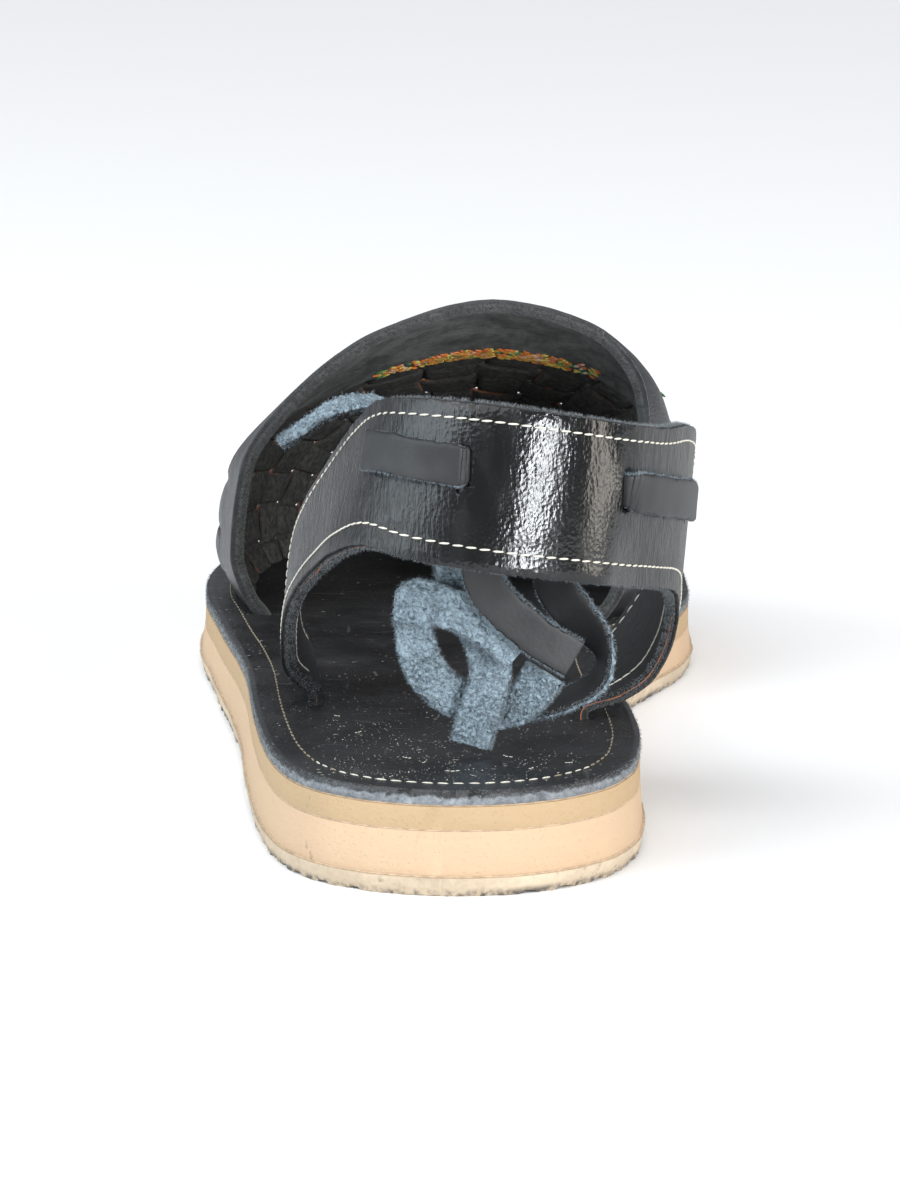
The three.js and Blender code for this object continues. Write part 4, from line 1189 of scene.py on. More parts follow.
LIGHT_FOAM = foam_finish("light_foam", (0.59, 0.425, 0.285), (0.5, 0.35, 0.225), 0.9)
TAN_FOAM = foam_finish("tan_foam", (0.49, 0.35, 0.21), (0.4, 0.28, 0.16), 0.6)
RUBBER = rubber_finish()
print("finishes", LIGHT_FOAM.name, TAN_FOAM.name, RUBBER.name)

# %% [markdown]
# Each layer could be an outline curve, extruded. A chart laid across and along the outline, at
# two heights of its own, also takes a toe spring, a side that slopes, a cut that wavers and a
# tread. The tread is relief on the lower skin: shallow waves along the sole that zigzag across
# it.

# %% Sole layers
OUTSOLE_FLANGE = 1.1
TREAD_PITCH = 4.2
TREAD_DEPTH = 0.45


def sole_outward(point):
    """Away from the sole's middle line, which ends short of heel and toe."""
    return (point - Vector((0, clamp(point.y, 40, 205), point.z))).normalized()


def sole_layer(name, finish, low, high, columns, ragged=(0.0, 0.0), rim=0.25, relief=None):
    """A layer between two (height key, inset) levels."""
    sides = [sole_sides(low[1]), sole_sides(high[1])]

    def place(u, v, skin):
        lateral, medial = sides[int(skin)]
        k = round(v * SOLE_STEPS)
        point = lateral[k].lerp(medial[k], u)
        if u in (0.0, 1.0) or k in (0, SOLE_STEPS):
            out = sole_outward(point)
            wave = noise.noise(point * 0.55) + 0.6 * noise.noise(point * 1.7 + Vector((9, 3, skin)))
            point = point + out * wave * ragged[int(skin)]
        height = layer_heights(point.y)[high[0] if skin else low[0]]
        if relief and not skin:
            height += relief(point)
        return Vector((point.x, point.y, height))
    bm = flat_grid(columns, SOLE_STEPS)
    bend_sheet(bm, place, (BALL_WIDTH * MM, SHOE_LENGTH * MM), rim=rim, closed_ends=True)
    return to_object(name, bm, finish)


def tread(point):
    """Height of the ground side at a place: grooves in zigzag."""
    zigzag = abs((point.x / 9.0) % 2 - 1) * 2.2
    wave = math.cos(2 * math.pi * (point.y + zigzag) / TREAD_PITCH)
    return TREAD_DEPTH * smooth_step(0.1, 0.7, wave)


seat(sole_layer("outsole_rubber", RUBBER, ("ground", -0.35), ("outsole_top", -OUTSOLE_FLANGE), 44,
                (0.42, 0.12), 0.2, tread), "outsole_rubber", "outsole")
seat(sole_layer("foam_wedge", LIGHT_FOAM, ("wedge_bottom", -0.55), ("wedge_top", 0), 8,
                (0.06, 0.05), 0.15), "light_foam", "midsole_wedge")
seat(sole_layer("foam_top_layer", TAN_FOAM, ("foam_bottom", 0), ("foam_top", 0.1), 8,
                (0.06, 0.1), 0.15), "tan_foam", "midsole_top_layer")

# %% [markdown]
# The glue between the layers shows as a thin line. It is a layer of its own, thin and a little
# set back or forward, that closes the gap between its neighbours.

# %% Glue lines
GLUE = plain_finish("glue_line", (0.56, 0.4, 0.26), 0.7)
for label, low, high, inset in (
        ("low", "outsole_top", "wedge_bottom", -0.5), ("middle", "wedge_top", "foam_bottom", 0.03),
        ("top", "foam_top", "footbed_bottom", 0.3)):
    seat(sole_layer("glue_line_" + label, GLUE, (low, inset - (label == "low") * 0.35),
                    (high, inset), 4, rim=0), "tan_foam")

# %% [markdown]
# The footbed is one sheet of black leather. Its worn gloss, scratches and fine dust come from the
# finish, because they have no depth. The soft creases where the foot bends it do, so they are
# troughs in the sheet itself, given one by one. Its cut edge is raw and furry.

# %% Footbed finish


def footbed_finish():
    finish = Finish("footbed_leather", Specular_IOR_Level=0.55)
    where = finish.place()
    tufts = finish.grain(where, 260, 4, 0.7)
    low_part = 1 - (finish.attribute("side") + tufts * 1.3 - 0.65).band(0.4, 0.65)
    edge = finish.attribute("edge").band(0.55, 0.95) * low_part
    broad = finish.grain(where, 38, 4, 0.6)
    wrinkles = finish.grain(finish.stretch(where, (1, 0.55, 1)), 420, 4, 0.62)
    pebbles = finish.cells(where, 1200)
    scratch_a = finish.grain(finish.stretch(where, (0.12, 1.6, 1)), 520, 2, 0.5).band(0.66, 0.74)
    scratch_b = finish.grain(finish.stretch(where, (1.5, 0.14, 1)), 420, 2, 0.5).band(0.67, 0.75)
    dust = finish.cells(where, 620)
    dust_size = finish.grain(where, 130, 3).band(0.42, 0.75) * 0.22
    dots = 1 - (dust - dust_size).band(0.0, 0.05)
    powder = finish.grain(where, 1700, 3, 0.75).band(0.6, 0.78) * broad.band(0.4, 0.75)
    base = finish.blend(broad.band(0.3, 0.7), (0.007, 0.007, 0.008), (0.022, 0.022, 0.023))
    marks = (scratch_a * 0.45 + scratch_b * 0.35 + powder * 0.5).clamp()
    worn = finish.blend(marks * 0.5, base, (0.16, 0.16, 0.16))
    dusty = finish.blend(dots * 0.55, worn, (0.42, 0.4, 0.37))
    nap = finish.grain(where, 1000, 4, 0.7)
    tufted = (nap * 0.6 + tufts * 0.8 - 0.3).clamp()
    raw = finish.blend(tufted, (0.05, 0.056, 0.062), (0.5, 0.53, 0.56))
    finish.feed("Base Color", finish.blend(edge, dusty, raw))
    dull = broad * 0.35 + wrinkles * 0.25 + 0.12 + marks * 0.3 + edge * 0.5
    finish.feed("Roughness", dull.clamp())
    relief = wrinkles * 0.7 + pebbles * 0.2 + dots * 0.3 + nap * edge - scratch_a * 0.3
    finish.bump(relief, GLOSS_DEPTH)
    return finish.material


FOOTBED = footbed_finish()
print("finish", FOOTBED.name)

# %% Footbed sheet
FOOTBED_SETBACK = 0.2
FOOTBED_FOLDS = table("x y turn long wide depth", """
-20 38 0.9 26 2.2 -0.35
-10 62 0.15 24 3.5 -0.3
14 70 -0.25 20 3.0 -0.3
-24 62 1.2 16 2.0 -0.3
20 30 -0.7 14 2.4 -0.25
2 24 0.1 22 5.0 -0.4
0 110 0.1 30 4.0 -0.3
-6 132 -0.1 34 4.5 -0.25""")


def footbed_creases(point):
    """Soft troughs, listed one by one: over the waist, beside the arch and round the heel."""
    height = 0.0
    for x, y, turn, long, wide, depth in map(dict.values, FOOTBED_FOLDS):
        along = (point.x - x) * math.cos(turn) + (point.y - y) * math.sin(turn)
        across = (point.y - y) * math.cos(turn) - (point.x - x) * math.sin(turn)
        height += depth * math.exp(-(along / long) ** 2 - (across / wide) ** 2)
    return height + 0.12 * noise.noise(point * 0.16)


def make_footbed():
    low, high = sole_sides(FOOTBED_SETBACK), sole_sides(FOOTBED_SETBACK + 0.1)

    def place(u, v, skin):
        lateral, medial = high if skin else low
        k = round(v * SOLE_STEPS)
        point = lateral[k].lerp(medial[k], u)
        heights = layer_heights(point.y)
        inner = min(u, 1 - u) * (medial[k] - lateral[k]).length
        calm = smooth_step(0, 9, inner)
        if u in (0.0, 1.0) or k in (0, SOLE_STEPS):
            point = point + sole_outward(point) * 0.22 * noise.noise(point * 0.7)
        if skin:
            top = heights["footbed_top"] + footbed_creases(point) * calm
            return Vector((point.x, point.y, top))
        return Vector((point.x, point.y, heights["footbed_bottom"]))
    bm = flat_grid(64, SOLE_STEPS)
    bend_sheet(bm, place, (BALL_WIDTH * MM, SHOE_LENGTH * MM), closed_ends=True)
    return to_object("footbed_sheet", bm, FOOTBED)


seat(make_footbed(), "footbed_leather", "footbed")

# %% [markdown]
# A stitch line follows the outline of the footbed. Round the heel its thread is white; along the
# sides it is darker, partly from dirt and partly as painted shade where the stitches sink into the
# leather, so the stitches are two pieces with a finish each, mixed by chance where one turns into
# the other. Fibres of the raw edge and bits of thread and dust are scattered the same way.

# %% Footbed stitches
STITCH_MARGIN = 4.7
STITCH_PITCH = 2.5


def ring_spots(inset, pitch):
    """Places along the outline at even steps: point, way along and way outward."""
    lateral, medial = sole_sides(inset)
    ring = medial + lateral[-2:0:-1]
    lengths = [0.0]
    for before, after in zip(ring, ring[1:] + ring[:1]):
        lengths.append(lengths[-1] + (after - before).length)
    spots = []
    count = int(lengths[-1] / pitch)
    index = 0
    for k in range(count):
        target = k * lengths[-1] / count
        while lengths[index + 1] < target:
            index += 1
        start, end = ring[index], ring[(index + 1) % len(ring)]
        way = (end - start).normalized()
        share = (target - lengths[index]) / max(lengths[index + 1] - lengths[index], 1e-6)
        spots.append((start.lerp(end, share), way, Vector((way.y, -way.x, 0))))
    return spots


def footbed_stitches():
    """Bright stitches round the heel; darker ones along the sides, for dirt and painted shade."""
    rng = random.Random(9)
    bright, dull = [], []
    for point, way, out in ring_spots(STITCH_MARGIN, STITCH_PITCH):
        point.z = layer_heights(point.y)["footbed_top"] + 0.02
        slant = rng.uniform(-0.1, 0.1)
        spot = (point, (out + way * slant) * 0.34, (way - out * slant) * 1.85, Vector((0, 0, 0.3)))
        # worn picks the darker thread: dirt, and painted shade where the stitches sink in.
        worn = rng.random() < smooth_step(8, 26, point.y)
        (dull if worn else bright).append(spot)
    return bright, dull


bright_stitches, darker_side_stitches = footbed_stitches()
seat(scatter("footbed_stitches", small_shape("bead"), bright_stitches, THREAD),
     "footbed_leather")
seat(scatter("footbed_stitches_dirt_and_shade", small_shape("bead"), darker_side_stitches,
             plain_finish("dirt_and_shade_thread", (0.3, 0.25, 0.18), 0.8, 2500, 0.4)), "footbed_leather")

# %% Footbed edge nap
EDGE_HAIR_PITCH = 0.04


def footbed_fuzz():
    rng = random.Random(4)
    places = []
    for point, _, out in ring_spots(FOOTBED_SETBACK, EDGE_HAIR_PITCH):
        heights = layer_heights(point.y)
        if noise.noise(point * 0.9) < rng.uniform(-0.6, 0.3):
            continue
        point.z = rng.uniform(heights["footbed_bottom"] + 0.1, heights["footbed_top"])
        places.append((point - out * 0.05, out + Vector((0, 0, rng.uniform(-0.5, 0.9)))))
    return hair_spots(rng, places, 0.7, 0.075)


seat(scatter("footbed_edge_nap", small_shape("fibre"), footbed_fuzz(), EDGE_FIBRE),
     "footbed_leather")

# %% Thread ends
THREAD_ENDS = table("x y turn long", """
1.5 13.2 0.2 2.6
-6.0 22.0 -0.6 1.8
14.0 16.5 0.9 1.4
10.0 24.5 -0.7 2.2
-14.0 40.0 0.9 1.8
-3.0 19.0 1.2 1.2
20.0 21.0 0.3 1.4
-18.0 52.0 -0.4 1.2""")


def loose_threads():
    """Short white thread ends that lie on the footbed near the heel, each three bent beads."""
    rng = random.Random(12)
    spots = []
    for x, y, turn, long in map(dict.values, THREAD_ENDS):
        z = layer_heights(y)["footbed_top"] + 0.05
        for k in range(3):
            bent = turn + 0.35 * (k - 1) * rng.uniform(0.4, 1.2)
            way = Vector((math.cos(bent), math.sin(bent), 0))
            origin = Vector((x, y, z)) + way * (k - 1) * long / 3
            side = Vector((-way.y, way.x, 0))
            spots.append((origin, side * 0.13, way * long / 3.2, Vector((0, 0, 0.14))))
    return spots


seat(scatter("loose_threads", small_shape("bead"), loose_threads(), THREAD),
     "footbed_leather")

# %% Dust
DUST = plain_finish("pale_dust", (0.5, 0.48, 0.44), 0.95)
SPECKS = 850
SPECKS_TO_A_SCRATCH = 80


def footbed_dust():
    """Pale specks and short scratches, thickest in the heel."""
    rng = random.Random(41)
    specks, scratches = [], []
    while len(specks) < SPECKS:
        x, y = rng.gauss(-4, 17), abs(rng.gauss(20, 30)) + 6
        hand = "lateral" if x < 0 else "medial"
        side = read_table(OUTLINE, "along", hand, y / SHOE_LENGTH) * BALL_WIDTH
        if abs(x) > side - 3 or y > 225:
            continue
        if noise.noise(Vector((x * 0.16, y * 0.16, 5))) < rng.uniform(-0.6, 0.3):
            continue
        spot = Vector((x, y, layer_heights(y)["footbed_top"]))
        spot.z += footbed_creases(spot) + 0.03
        wide = 0.08 + 0.26 * rng.random() ** 4
        specks.append((spot, Vector((wide, 0, 0)), Vector((0, wide * rng.uniform(0.6, 1.6), 0)),
                       Vector((0, 0, 0.1))))
        if len(specks) % SPECKS_TO_A_SCRATCH == 0:
            turn = rng.uniform(0, math.pi)
            way = Vector((math.cos(turn), math.sin(turn), 0))
            cross = Vector((-way.y, way.x, 0))
            scratches.append(
                (spot, cross * 0.09, way * rng.uniform(0.6, 1.9), Vector((0, 0, 0.08))))
    return specks + scratches


seat(scatter("footbed_dust", small_shape("bead"), footbed_dust(), DUST),
     "footbed_leather")

# %% [markdown]
# The vamp is leather strips woven over the foot. They could lie on a subdivided cage, but strips
# must run evenly round the toe. So the vamp is laid out on a chart: columns run from the lateral
# side over the instep to the medial side, rows from the open rear edge to the toe, where the
# chart bends so that both meet the sole. Sections across and heights along are the solid's own
# tables.

# %% Vamp tables
VAMP_HEIGHTS = table("along height", """
0.56 1.08
0.6 1.05
0.64 1
0.7 0.885
0.76 0.765
0.82 0.655
0.88 0.56
0.94 0.5
1 0.47""")
SECTION = table("around rear_across rear_up toe_across toe_up", """
-1 -1 0 -1 0
-0.9 -1.15 0.09 -1.06 0.13
-0.8 -1.23 0.21 -1.08 0.28
-0.6 -1.17 0.46 -0.98 0.56
-0.4 -0.85 0.69 -0.74 0.79
-0.2 -0.34 0.895 -0.38 0.94
0 0.28 1 0.06 1
0.2 0.85 0.93 0.48 0.95
0.4 1.17 0.73 0.81 0.81
0.6 1.24 0.48 1.02 0.57
0.8 1.2 0.24 1.09 0.28
0.9 1.14 0.115 1.06 0.13
1 1 0 1 0""")
TOPLINE = table("around along smooth_rows", """
-1 0.592 1
-0.7 0.598 1
-0.45 0.612 1
-0.3 0.625 3
0 0.64 3
0.35 0.635 3
0.7 0.615 4
1 0.6 5""")
print("vamp rows", len(VAMP_HEIGHTS), "around", len(SECTION), "top line", len(TOPLINE))

# %% Vamp sections
VAMP_MARGIN = 10.0
VAMP_HEIGHT = 60.2
TOE_DOME_START = 0.8
TOE_ROUNDNESS = 2.3
vamp_seat = sole_sides(VAMP_MARGIN)
SEAT_TIP = vamp_seat[1][-1]


def seat_edge(side, y):
    """Where the vamp meets the sole at y, at the lateral (0) or medial (1) side."""
    run = vamp_seat[side]
    low, high = 0, len(run) - 1
    while high - low > 1:
        middle = (low + high) // 2
        if run[middle].y < y:
            low = middle
        else:
            high = middle
    share = clamp((y - run[low].y) / max(run[high].y - run[low].y, 1e-6))
    return mix(run[low].x, run[high].x, share)


def section_point(around, y):
    toeward = smooth_step(0.64, 0.86, y / SHOE_LENGTH)
    across, up = (
        mix(read_table(SECTION, "around", "rear_" + way, around),
            read_table(SECTION, "around", "toe_" + way, around), toeward)
        for way in ("across", "up"))
    left, right = seat_edge(0, y), seat_edge(1, y)
    start = TOE_DOME_START * SHOE_LENGTH
    dome = clamp((y - start) / (SEAT_TIP.y - start))
    height = VAMP_HEIGHT * read_table(VAMP_HEIGHTS, "along", "height", y / SHOE_LENGTH)
    height *= (1 - dome ** TOE_ROUNDNESS) ** (1 / TOE_ROUNDNESS)
    x = (left + right) / 2 + across * (right - left) / 2
    return Vector((x, y, layer_heights(y)["footbed_bottom"] + up * height))


print("instep", round(section_point(0, 160).z, 1), "mm high")

# %% Vamp chart
WEAVE_COLUMNS, WEAVE_REAR_ROWS, WEAVE_TOE_ROWS = 16, 5, 6
WEAVE_ROWS = WEAVE_REAR_ROWS + WEAVE_TOE_ROWS


def chart_place(around, ahead):
    """Chart to section: how far around, and y. A square is rounded off over the toe."""
    start = TOE_DOME_START * SHOE_LENGTH
    if ahead <= 0:
        edge = read_table(TOPLINE, "around", "along", around) * SHOE_LENGTH
        return around, start + ahead * (start - edge)
    side = around * math.sqrt(1 - ahead * ahead / 2)
    front = ahead * math.sqrt(1 - around * around / 2)
    radius = min(1.0, math.hypot(side, front))
    reach = math.sin(radius * math.pi / 2) / max(radius, 1e-6)
    forward = min(1.0, front * reach)
    width = math.sqrt(max(0.0, 1 - forward * forward))
    share = 0.0 if width < 1e-4 else clamp(side * reach / width, -1, 1)
    return math.asin(share) / (math.pi / 2), start + forward * (SEAT_TIP.y - start)


def chart_spot(u, v):
    """From shares of columns and rows to the chart, whose toe part starts at 0."""
    row = v * WEAVE_ROWS
    if row <= WEAVE_REAR_ROWS:
        return 2 * u - 1, row / WEAVE_REAR_ROWS - 1
    return 2 * u - 1, (row - WEAVE_REAR_ROWS) / WEAVE_TOE_ROWS


def vamp_point(u, v):
    return section_point(*chart_place(*chart_spot(u, v)))


print("vamp tip", [round(value, 1) for value in vamp_point(0.5, 1)])

# %% Vamp net


def vamp_normal(u, v):
    section, y = chart_place(*chart_spot(u, v))
    a, y = clamp(section, -0.96, 0.96), min(y, SEAT_TIP.y - 0.8)
    across = section_point(a + 0.02, y) - section_point(a - 0.02, y)
    along = section_point(a, y + 0.5) - section_point(a, y - 0.5)
    return across.cross(along).normalized()


vamp_net = Net(WEAVE_COLUMNS * 6, WEAVE_ROWS * 6, vamp_point, vamp_normal)
print("vamp net", vamp_net.size)


def vamp_at(column, row, lift):
    return vamp_net.at(column / WEAVE_COLUMNS, row / WEAVE_ROWS, lift)


# %% [markdown]
# The strips have grain outside, dull flesh inside and raw, sometimes reddish cut edges, all read
# from the sheets' own attributes. The yoke is the strap's kind of leather, less glossy.

# %% Vamp finishes


def strip_finish():
    finish = Finish("weave_leather", Specular_IOR_Level=0.45)
    where = finish.place()
    side = finish.attribute("side").band(0.4, 0.8)
    edge = finish.attribute("edge").band(0.55, 0.95)
    pebbles = finish.cells(where, 1100)
    broad = finish.grain(where, 120, 3)
    nap = finish.grain(where, 850, 4, 0.7)
    grain = finish.blend(broad.band(0.3, 0.7), (0.012, 0.012, 0.013), (0.026, 0.026, 0.028))
    flesh = finish.blend(nap.band(0.3, 0.75), (0.02, 0.019, 0.018), (0.085, 0.08, 0.072))
    raw = finish.blend(broad.band(0.52, 0.66), (0.035, 0.032, 0.03), (0.2, 0.085, 0.045))
    body = finish.blend(side, flesh, grain)
    finish.feed("Base Color", finish.blend(edge, body, raw))
    finish.feed("Roughness", 0.88 - side * 0.48 + edge * 0.1)
    finish.bump(pebbles * side * 0.35 + broad * side * 0.4 + nap * (1 - side), GLOSS_DEPTH)
    return finish.material


WEAVE_LEATHER = strip_finish()
YOKE_LEATHER = gloss_leather(
    "yoke_leather", (0.012, 0.012, 0.013), (0.026, 0.026, 0.028), 0.38, 0.35,
    flesh=(0.15, 0.155, 0.148))
print("finishes", WEAVE_LEATHER.name, YOKE_LEATHER.name)

# %% [markdown]
# A weave is two sets of strips that pass over and under each other. A displaced surface would
# only look woven from afar; real strips leave real gaps. Each strip is a sheet whose lift follows
# a cosine of its place, and the two sets rise in turn.

# %% One woven strip
STRIP_THICKNESS = 1.15


def over_under(phase):
    """1 where a strip is on top, -1 where it is below, with flat tops."""
    wave = math.cos(math.pi * phase)
    return math.copysign(abs(wave) ** 0.6, wave)


def smooth_edge_row(column):
    around = 2 * column / WEAVE_COLUMNS - 1
    return read_table(TOPLINE, "around", "smooth_rows", around) + 0.1


def weave_strip(bm_rows, cell_place, flip):
    """One strip. cell_place(u, v) gives its column, row and phase."""
    def place(u, v, skin):
        column, row, phase = cell_place(u, v)
        sway = -1 if flip else 1
        rounding = (1 - abs(2 * u - 1) ** 6) ** 0.5 * 0.6 + 0.4
        lift = -0.38 + 0.62 * sway * over_under(phase) + (skin - 0.5) * STRIP_THICKNESS * rounding
        return vamp_at(column, row, lift)
    bm = flat_grid(8, bm_rows)
    return bend_sheet(bm, place, (0.009, 0.12))


print("a strip is on top at", over_under(0), "and below at", over_under(1))

# %% Weave
STRIP_GAP = 0.06


def join_sheets(name, sheets, finish):
    """Several bent sheets as one mesh."""
    whole = bmesh.new()
    for sheet in sheets:
        spare = bpy.data.meshes.new("spare")
        sheet.to_mesh(spare)
        sheet.free()
        whole.from_mesh(spare)
        bpy.data.meshes.remove(spare)
    return to_object(name, whole, finish)


def make_weave():
    lengthwise, crosswise = [], []
    for column in range(WEAVE_COLUMNS):
        start = max(0.3, smooth_edge_row(column + 0.5) - 0.35)

        def lengthwise_place(u, v, column=column, start=start):
            row = mix(start, WEAVE_ROWS, v)
            return column + mix(STRIP_GAP, 1 - STRIP_GAP, u), row, row - 0.5 + column
        lengthwise.append(weave_strip(int((WEAVE_ROWS - start) * 8), lengthwise_place, False))
    for row in range(1, WEAVE_ROWS):
        woven = [c for c in range(WEAVE_COLUMNS) if smooth_edge_row(c + 0.5) < row + 0.6]
        if not woven:
            continue
        first, last = woven[0], woven[-1] + 1

        def crosswise_place(u, v, row=row, first=first, last=last):
            column = mix(first, last, v)
            return column, row + mix(1 - STRIP_GAP, STRIP_GAP, u), column - 0.5 + row
        crosswise.append(weave_strip((last - first) * 8, crosswise_place, True))
    return lengthwise, crosswise


lengthwise, crosswise = make_weave()
seat(join_sheets("weave_lengthwise", lengthwise, WEAVE_LEATHER), "vamp_leather", "vamp")
seat(join_sheets("weave_crosswise", crosswise, WEAVE_LEATHER), "vamp_leather")

# %% [markdown]
# The yoke is the smooth band behind the weave, which closes the rear edge and has a raw, furry
# rim.

# %% Yoke
VAMP_WALL = 1.7
YOKE_RISE = 0.9


def make_yoke():
    def place(u, v, skin):
        column = u * WEAVE_COLUMNS
        row = v * smooth_edge_row(column)
        point = vamp_at(column, row, 0)
        wave = 0.12 * noise.noise(point * 0.12) + 0.05 * noise.noise(point * 0.6)
        return vamp_at(column, row, mix(-VAMP_WALL, YOKE_RISE, skin) + wave)
    bm = flat_grid(150, 36)
    bend_sheet(bm, place, (0.16, 0.03), rim=0.35)
    return to_object("yoke", bm, YOKE_LEATHER)


seat(make_yoke(), "vamp_leather")

# %% Yoke edge nap
YOKE_EDGE_HAIRS = 9000


def yoke_fuzz():
    rng = random.Random(8)
    places = []
    for _ in range(YOKE_EDGE_HAIRS):
        column = rng.uniform(0.3, WEAVE_COLUMNS - 0.3)
        lift = rng.uniform(-VAMP_WALL + 0.1, YOKE_RISE - 0.5)
        point = vamp_at(column, 0, lift)
        back = point - vamp_at(column, 0.4, lift)
        places.append((point, back.normalized() + Vector((0, 0, 0.2))))
    return hair_spots(rng, places, 0.6, 0.07)


seat(scatter("yoke_edge_nap", small_shape("fibre"), yoke_fuzz(),
             suede_finish("yoke_fibre", (0.03, 0.032, 0.032), (0.14, 0.145, 0.14), sheen=0.0)),
     "vamp_leather")

# %% [markdown]
# A small embroidered garland runs along the front of the yoke: orange and yellow blossoms with
# green leaves. It could be painted on, but each petal is a raised pad of thread, so it is a small
# shape of its own. On the inside only the back of the stitches shows, as a tangled coloured line.

# %% Garland threads
ORANGE = plain_finish("orange_thread", (0.75, 0.2, 0.04), 0.55, 2600, 0.3)
YELLOW = plain_finish("yellow_thread", (0.7, 0.52, 0.1), 0.55, 2600, 0.3)
GREEN = plain_finish("green_thread", (0.1, 0.27, 0.09), 0.55, 2600, 0.35)
PINK = plain_finish("pale_pink_thread", (0.72, 0.45, 0.4), 0.55, 2600, 0.25)
print("threads", ORANGE.name, YELLOW.name, GREEN.name, PINK.name)

# %% Blossoms, leaves and stem
GARLAND_ROW = 2.45
BLOSSOM_COLOURS = ("orange", "yellow", "orange", "pink")
BLOSSOM_SIZES = (1.15, 0.9, 1.0, 0.7)


def vamp_frame(column, row, lift):
    point = vamp_at(column, row, lift)
    _, normal = vamp_net.read(column / WEAVE_COLUMNS, row / WEAVE_ROWS)
    ahead = vamp_at(column + 0.1, row, lift) - vamp_at(column - 0.1, row, lift)
    side, along, up = frame_on(normal, ahead)
    return point, side, along, up


def add_blossoms(groups):
    lift = YOKE_RISE + 0.12
    for k in range(13):
        column = 4.9 + k * 0.72
        row = GARLAND_ROW + 0.16 * math.sin(k * 2.1)
        point, side, along, up = vamp_frame(column, row, lift)
        colour, size = BLOSSOM_COLOURS[k % 4], BLOSSOM_SIZES[k % 4]
        for petal in range(6):
            turn = math.radians(60 * petal + 17 * k)
            way = along * math.cos(turn) + side * math.sin(turn)
            across = side * math.cos(turn) - along * math.sin(turn)
            groups[colour].append(
                (point + way * 1.35 * size, across * 1.5 * size, way * 2.1 * size, up * 0.6))
        middle = "yellow" if colour != "yellow" else "orange"
        groups[middle].append((point + up * 0.2, side * 1.1, along * 1.1, up * 0.6))
        for hand in (-1, 1):
            way = (along * 0.8 + side * hand * 0.7).normalized()
            across = way.cross(up)
            groups["green"].append((point + way * 3.9 * size, across * 1.3, way * 2.8, up * 0.45))
    for k in range(110):
        column, row = 4.3 + k * 0.092, GARLAND_ROW + 0.22 * math.sin(k * 0.35)
        point, side, along, up = vamp_frame(column, row, lift - 0.05)
        groups["green"].append((point, side * 0.4, along * 1.25, up * 0.35))


flowers = {"orange": [], "yellow": [], "green": [], "pink": []}
add_blossoms(flowers)
print("stitches", {colour: len(places) for colour, places in flowers.items()})

# %% Backs of the stitches
BACK_MIDDLE, BACK_REACH = 7.9, 1.9


def add_stitch_backs(groups):
    """A tangle of short stitches inside the yoke, green towards its ends."""
    rng = random.Random(31)
    for k in range(420):
        column = rng.gauss(BACK_MIDDLE, 1.1)
        if not 6.2 < column < 9.9:
            continue
        lane = rng.uniform(-0.27, 0.27)
        point, side, along, up = vamp_frame(column, GARLAND_ROW + 0.42 + lane, -VAMP_WALL - 0.08)
        turn = rng.uniform(-1.2, 1.2)
        way = along * math.cos(turn) + side * math.sin(turn)
        share = abs(column - BACK_MIDDLE) / BACK_REACH
        weights = (5, 4, 1 + 9 * smooth_step(0.6, 1, share), 1)
        colour = rng.choices(("orange", "yellow", "green", "pink"), weights)[0]
        groups[colour].append((point, way.cross(up) * 0.95, way * rng.uniform(1.2, 2.4), up * 0.5))


add_stitch_backs(flowers)
petal_shape = small_shape("petal")
for label, finish in (("orange", ORANGE), ("yellow", YELLOW), ("green", GREEN), ("pink", PINK)):
    seat(scatter("garland_" + label, petal_shape, flowers[label], finish), "vamp_leather")

# %% [markdown]
# A plain pale floor and soft studio light. A picture of a studio round the scene would light it
# too, but gloss shows what it mirrors, so area lights are placed where the strap needs them. Two
# tall lights on the right give the bright upright bands; a wide one on the left gives the grey
# sheen.

# %% Floor
FLOOR_HALF_WIDTH = 6


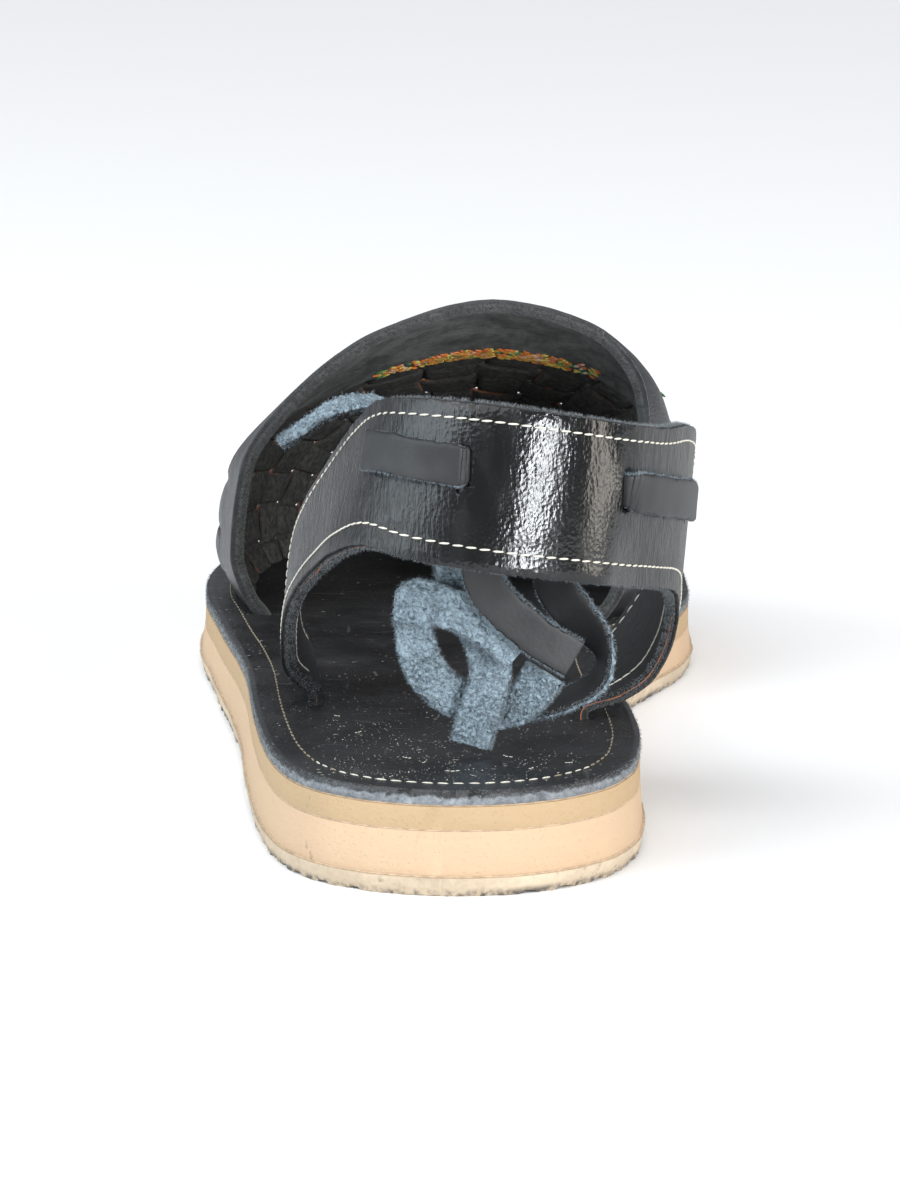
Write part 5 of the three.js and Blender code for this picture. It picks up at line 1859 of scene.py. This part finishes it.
def make_floor():
    bm = bmesh.new()
    bmesh.ops.create_grid(bm, x_segments=1, y_segments=1, size=FLOOR_HALF_WIDTH)
    finish = Finish(
        "pale_floor", Base_Color=(0.9, 0.9, 0.9, 1), Roughness=0.9, Specular_IOR_Level=0.1)
    floor = to_object("floor", bm, finish.material, smooth=False)


make_floor()
print("floor", 2 * FLOOR_HALF_WIDTH, "m wide")

# %% Lights


def make_light(name, azimuth, elevation, distance, size, power, colour=(1, 1, 1), lean=0):
    """An area light round the heel. Azimuth 0 is behind the camera, 90 to its right. lean, in
    degrees, tips the light's top away from the camera."""
    a, e = math.radians(azimuth), math.radians(elevation)
    way = Vector((math.sin(a) * math.cos(e), -math.cos(a) * math.cos(e), math.sin(e)))
    data = bpy.data.lights.new(name, "AREA")
    data.shape = "RECTANGLE"
    data.size, data.size_y = size
    data.energy = power
    data.color = colour
    light = bpy.data.objects.new(name, data)
    light.location = Vector((0, -0.05, 0.05)) + way * distance
    light.rotation_mode = "QUATERNION"
    tip = Matrix.Rotation(math.radians(lean), 3, "Z").to_quaternion()
    light.rotation_quaternion = (-way).to_track_quat("-Z", "Y") @ tip
    light.visible_camera = False
    bpy.context.scene.collection.objects.link(light)


make_light("band_right_near", 35, 10, 1.3, (0.2, 0.62), 14, (0.93, 0.97, 1), lean=-38)
make_light("band_right_far", 88, 12, 1.3, (0.42, 0.62), 4.4, (1, 0.95, 0.85), lean=-10)
make_light("side_left", -70, 22, 1.5, (1.9, 0.9), 21, (0.8, 0.92, 1))
sun = bpy.data.lights.new("even_top", "SUN")
sun.energy, sun.angle = 2.1, math.radians(70)
even_top = bpy.data.objects.new("even_top", sun)
even_top.rotation_euler = (math.radians(28), math.radians(-12), 0)
bpy.context.scene.collection.objects.link(even_top)
print("lights", len(bpy.data.lights))

# %% World
world = bpy.data.worlds.new("studio")
world.use_nodes = True
world.node_tree.nodes["Background"].inputs["Color"].default_value = (0.9, 0.93, 1, 1)
world.node_tree.nodes["Background"].inputs["Strength"].default_value = 0.35
bpy.context.scene.world = world
bpy.context.scene.view_settings.view_transform = "Standard"
print("world", world.name)
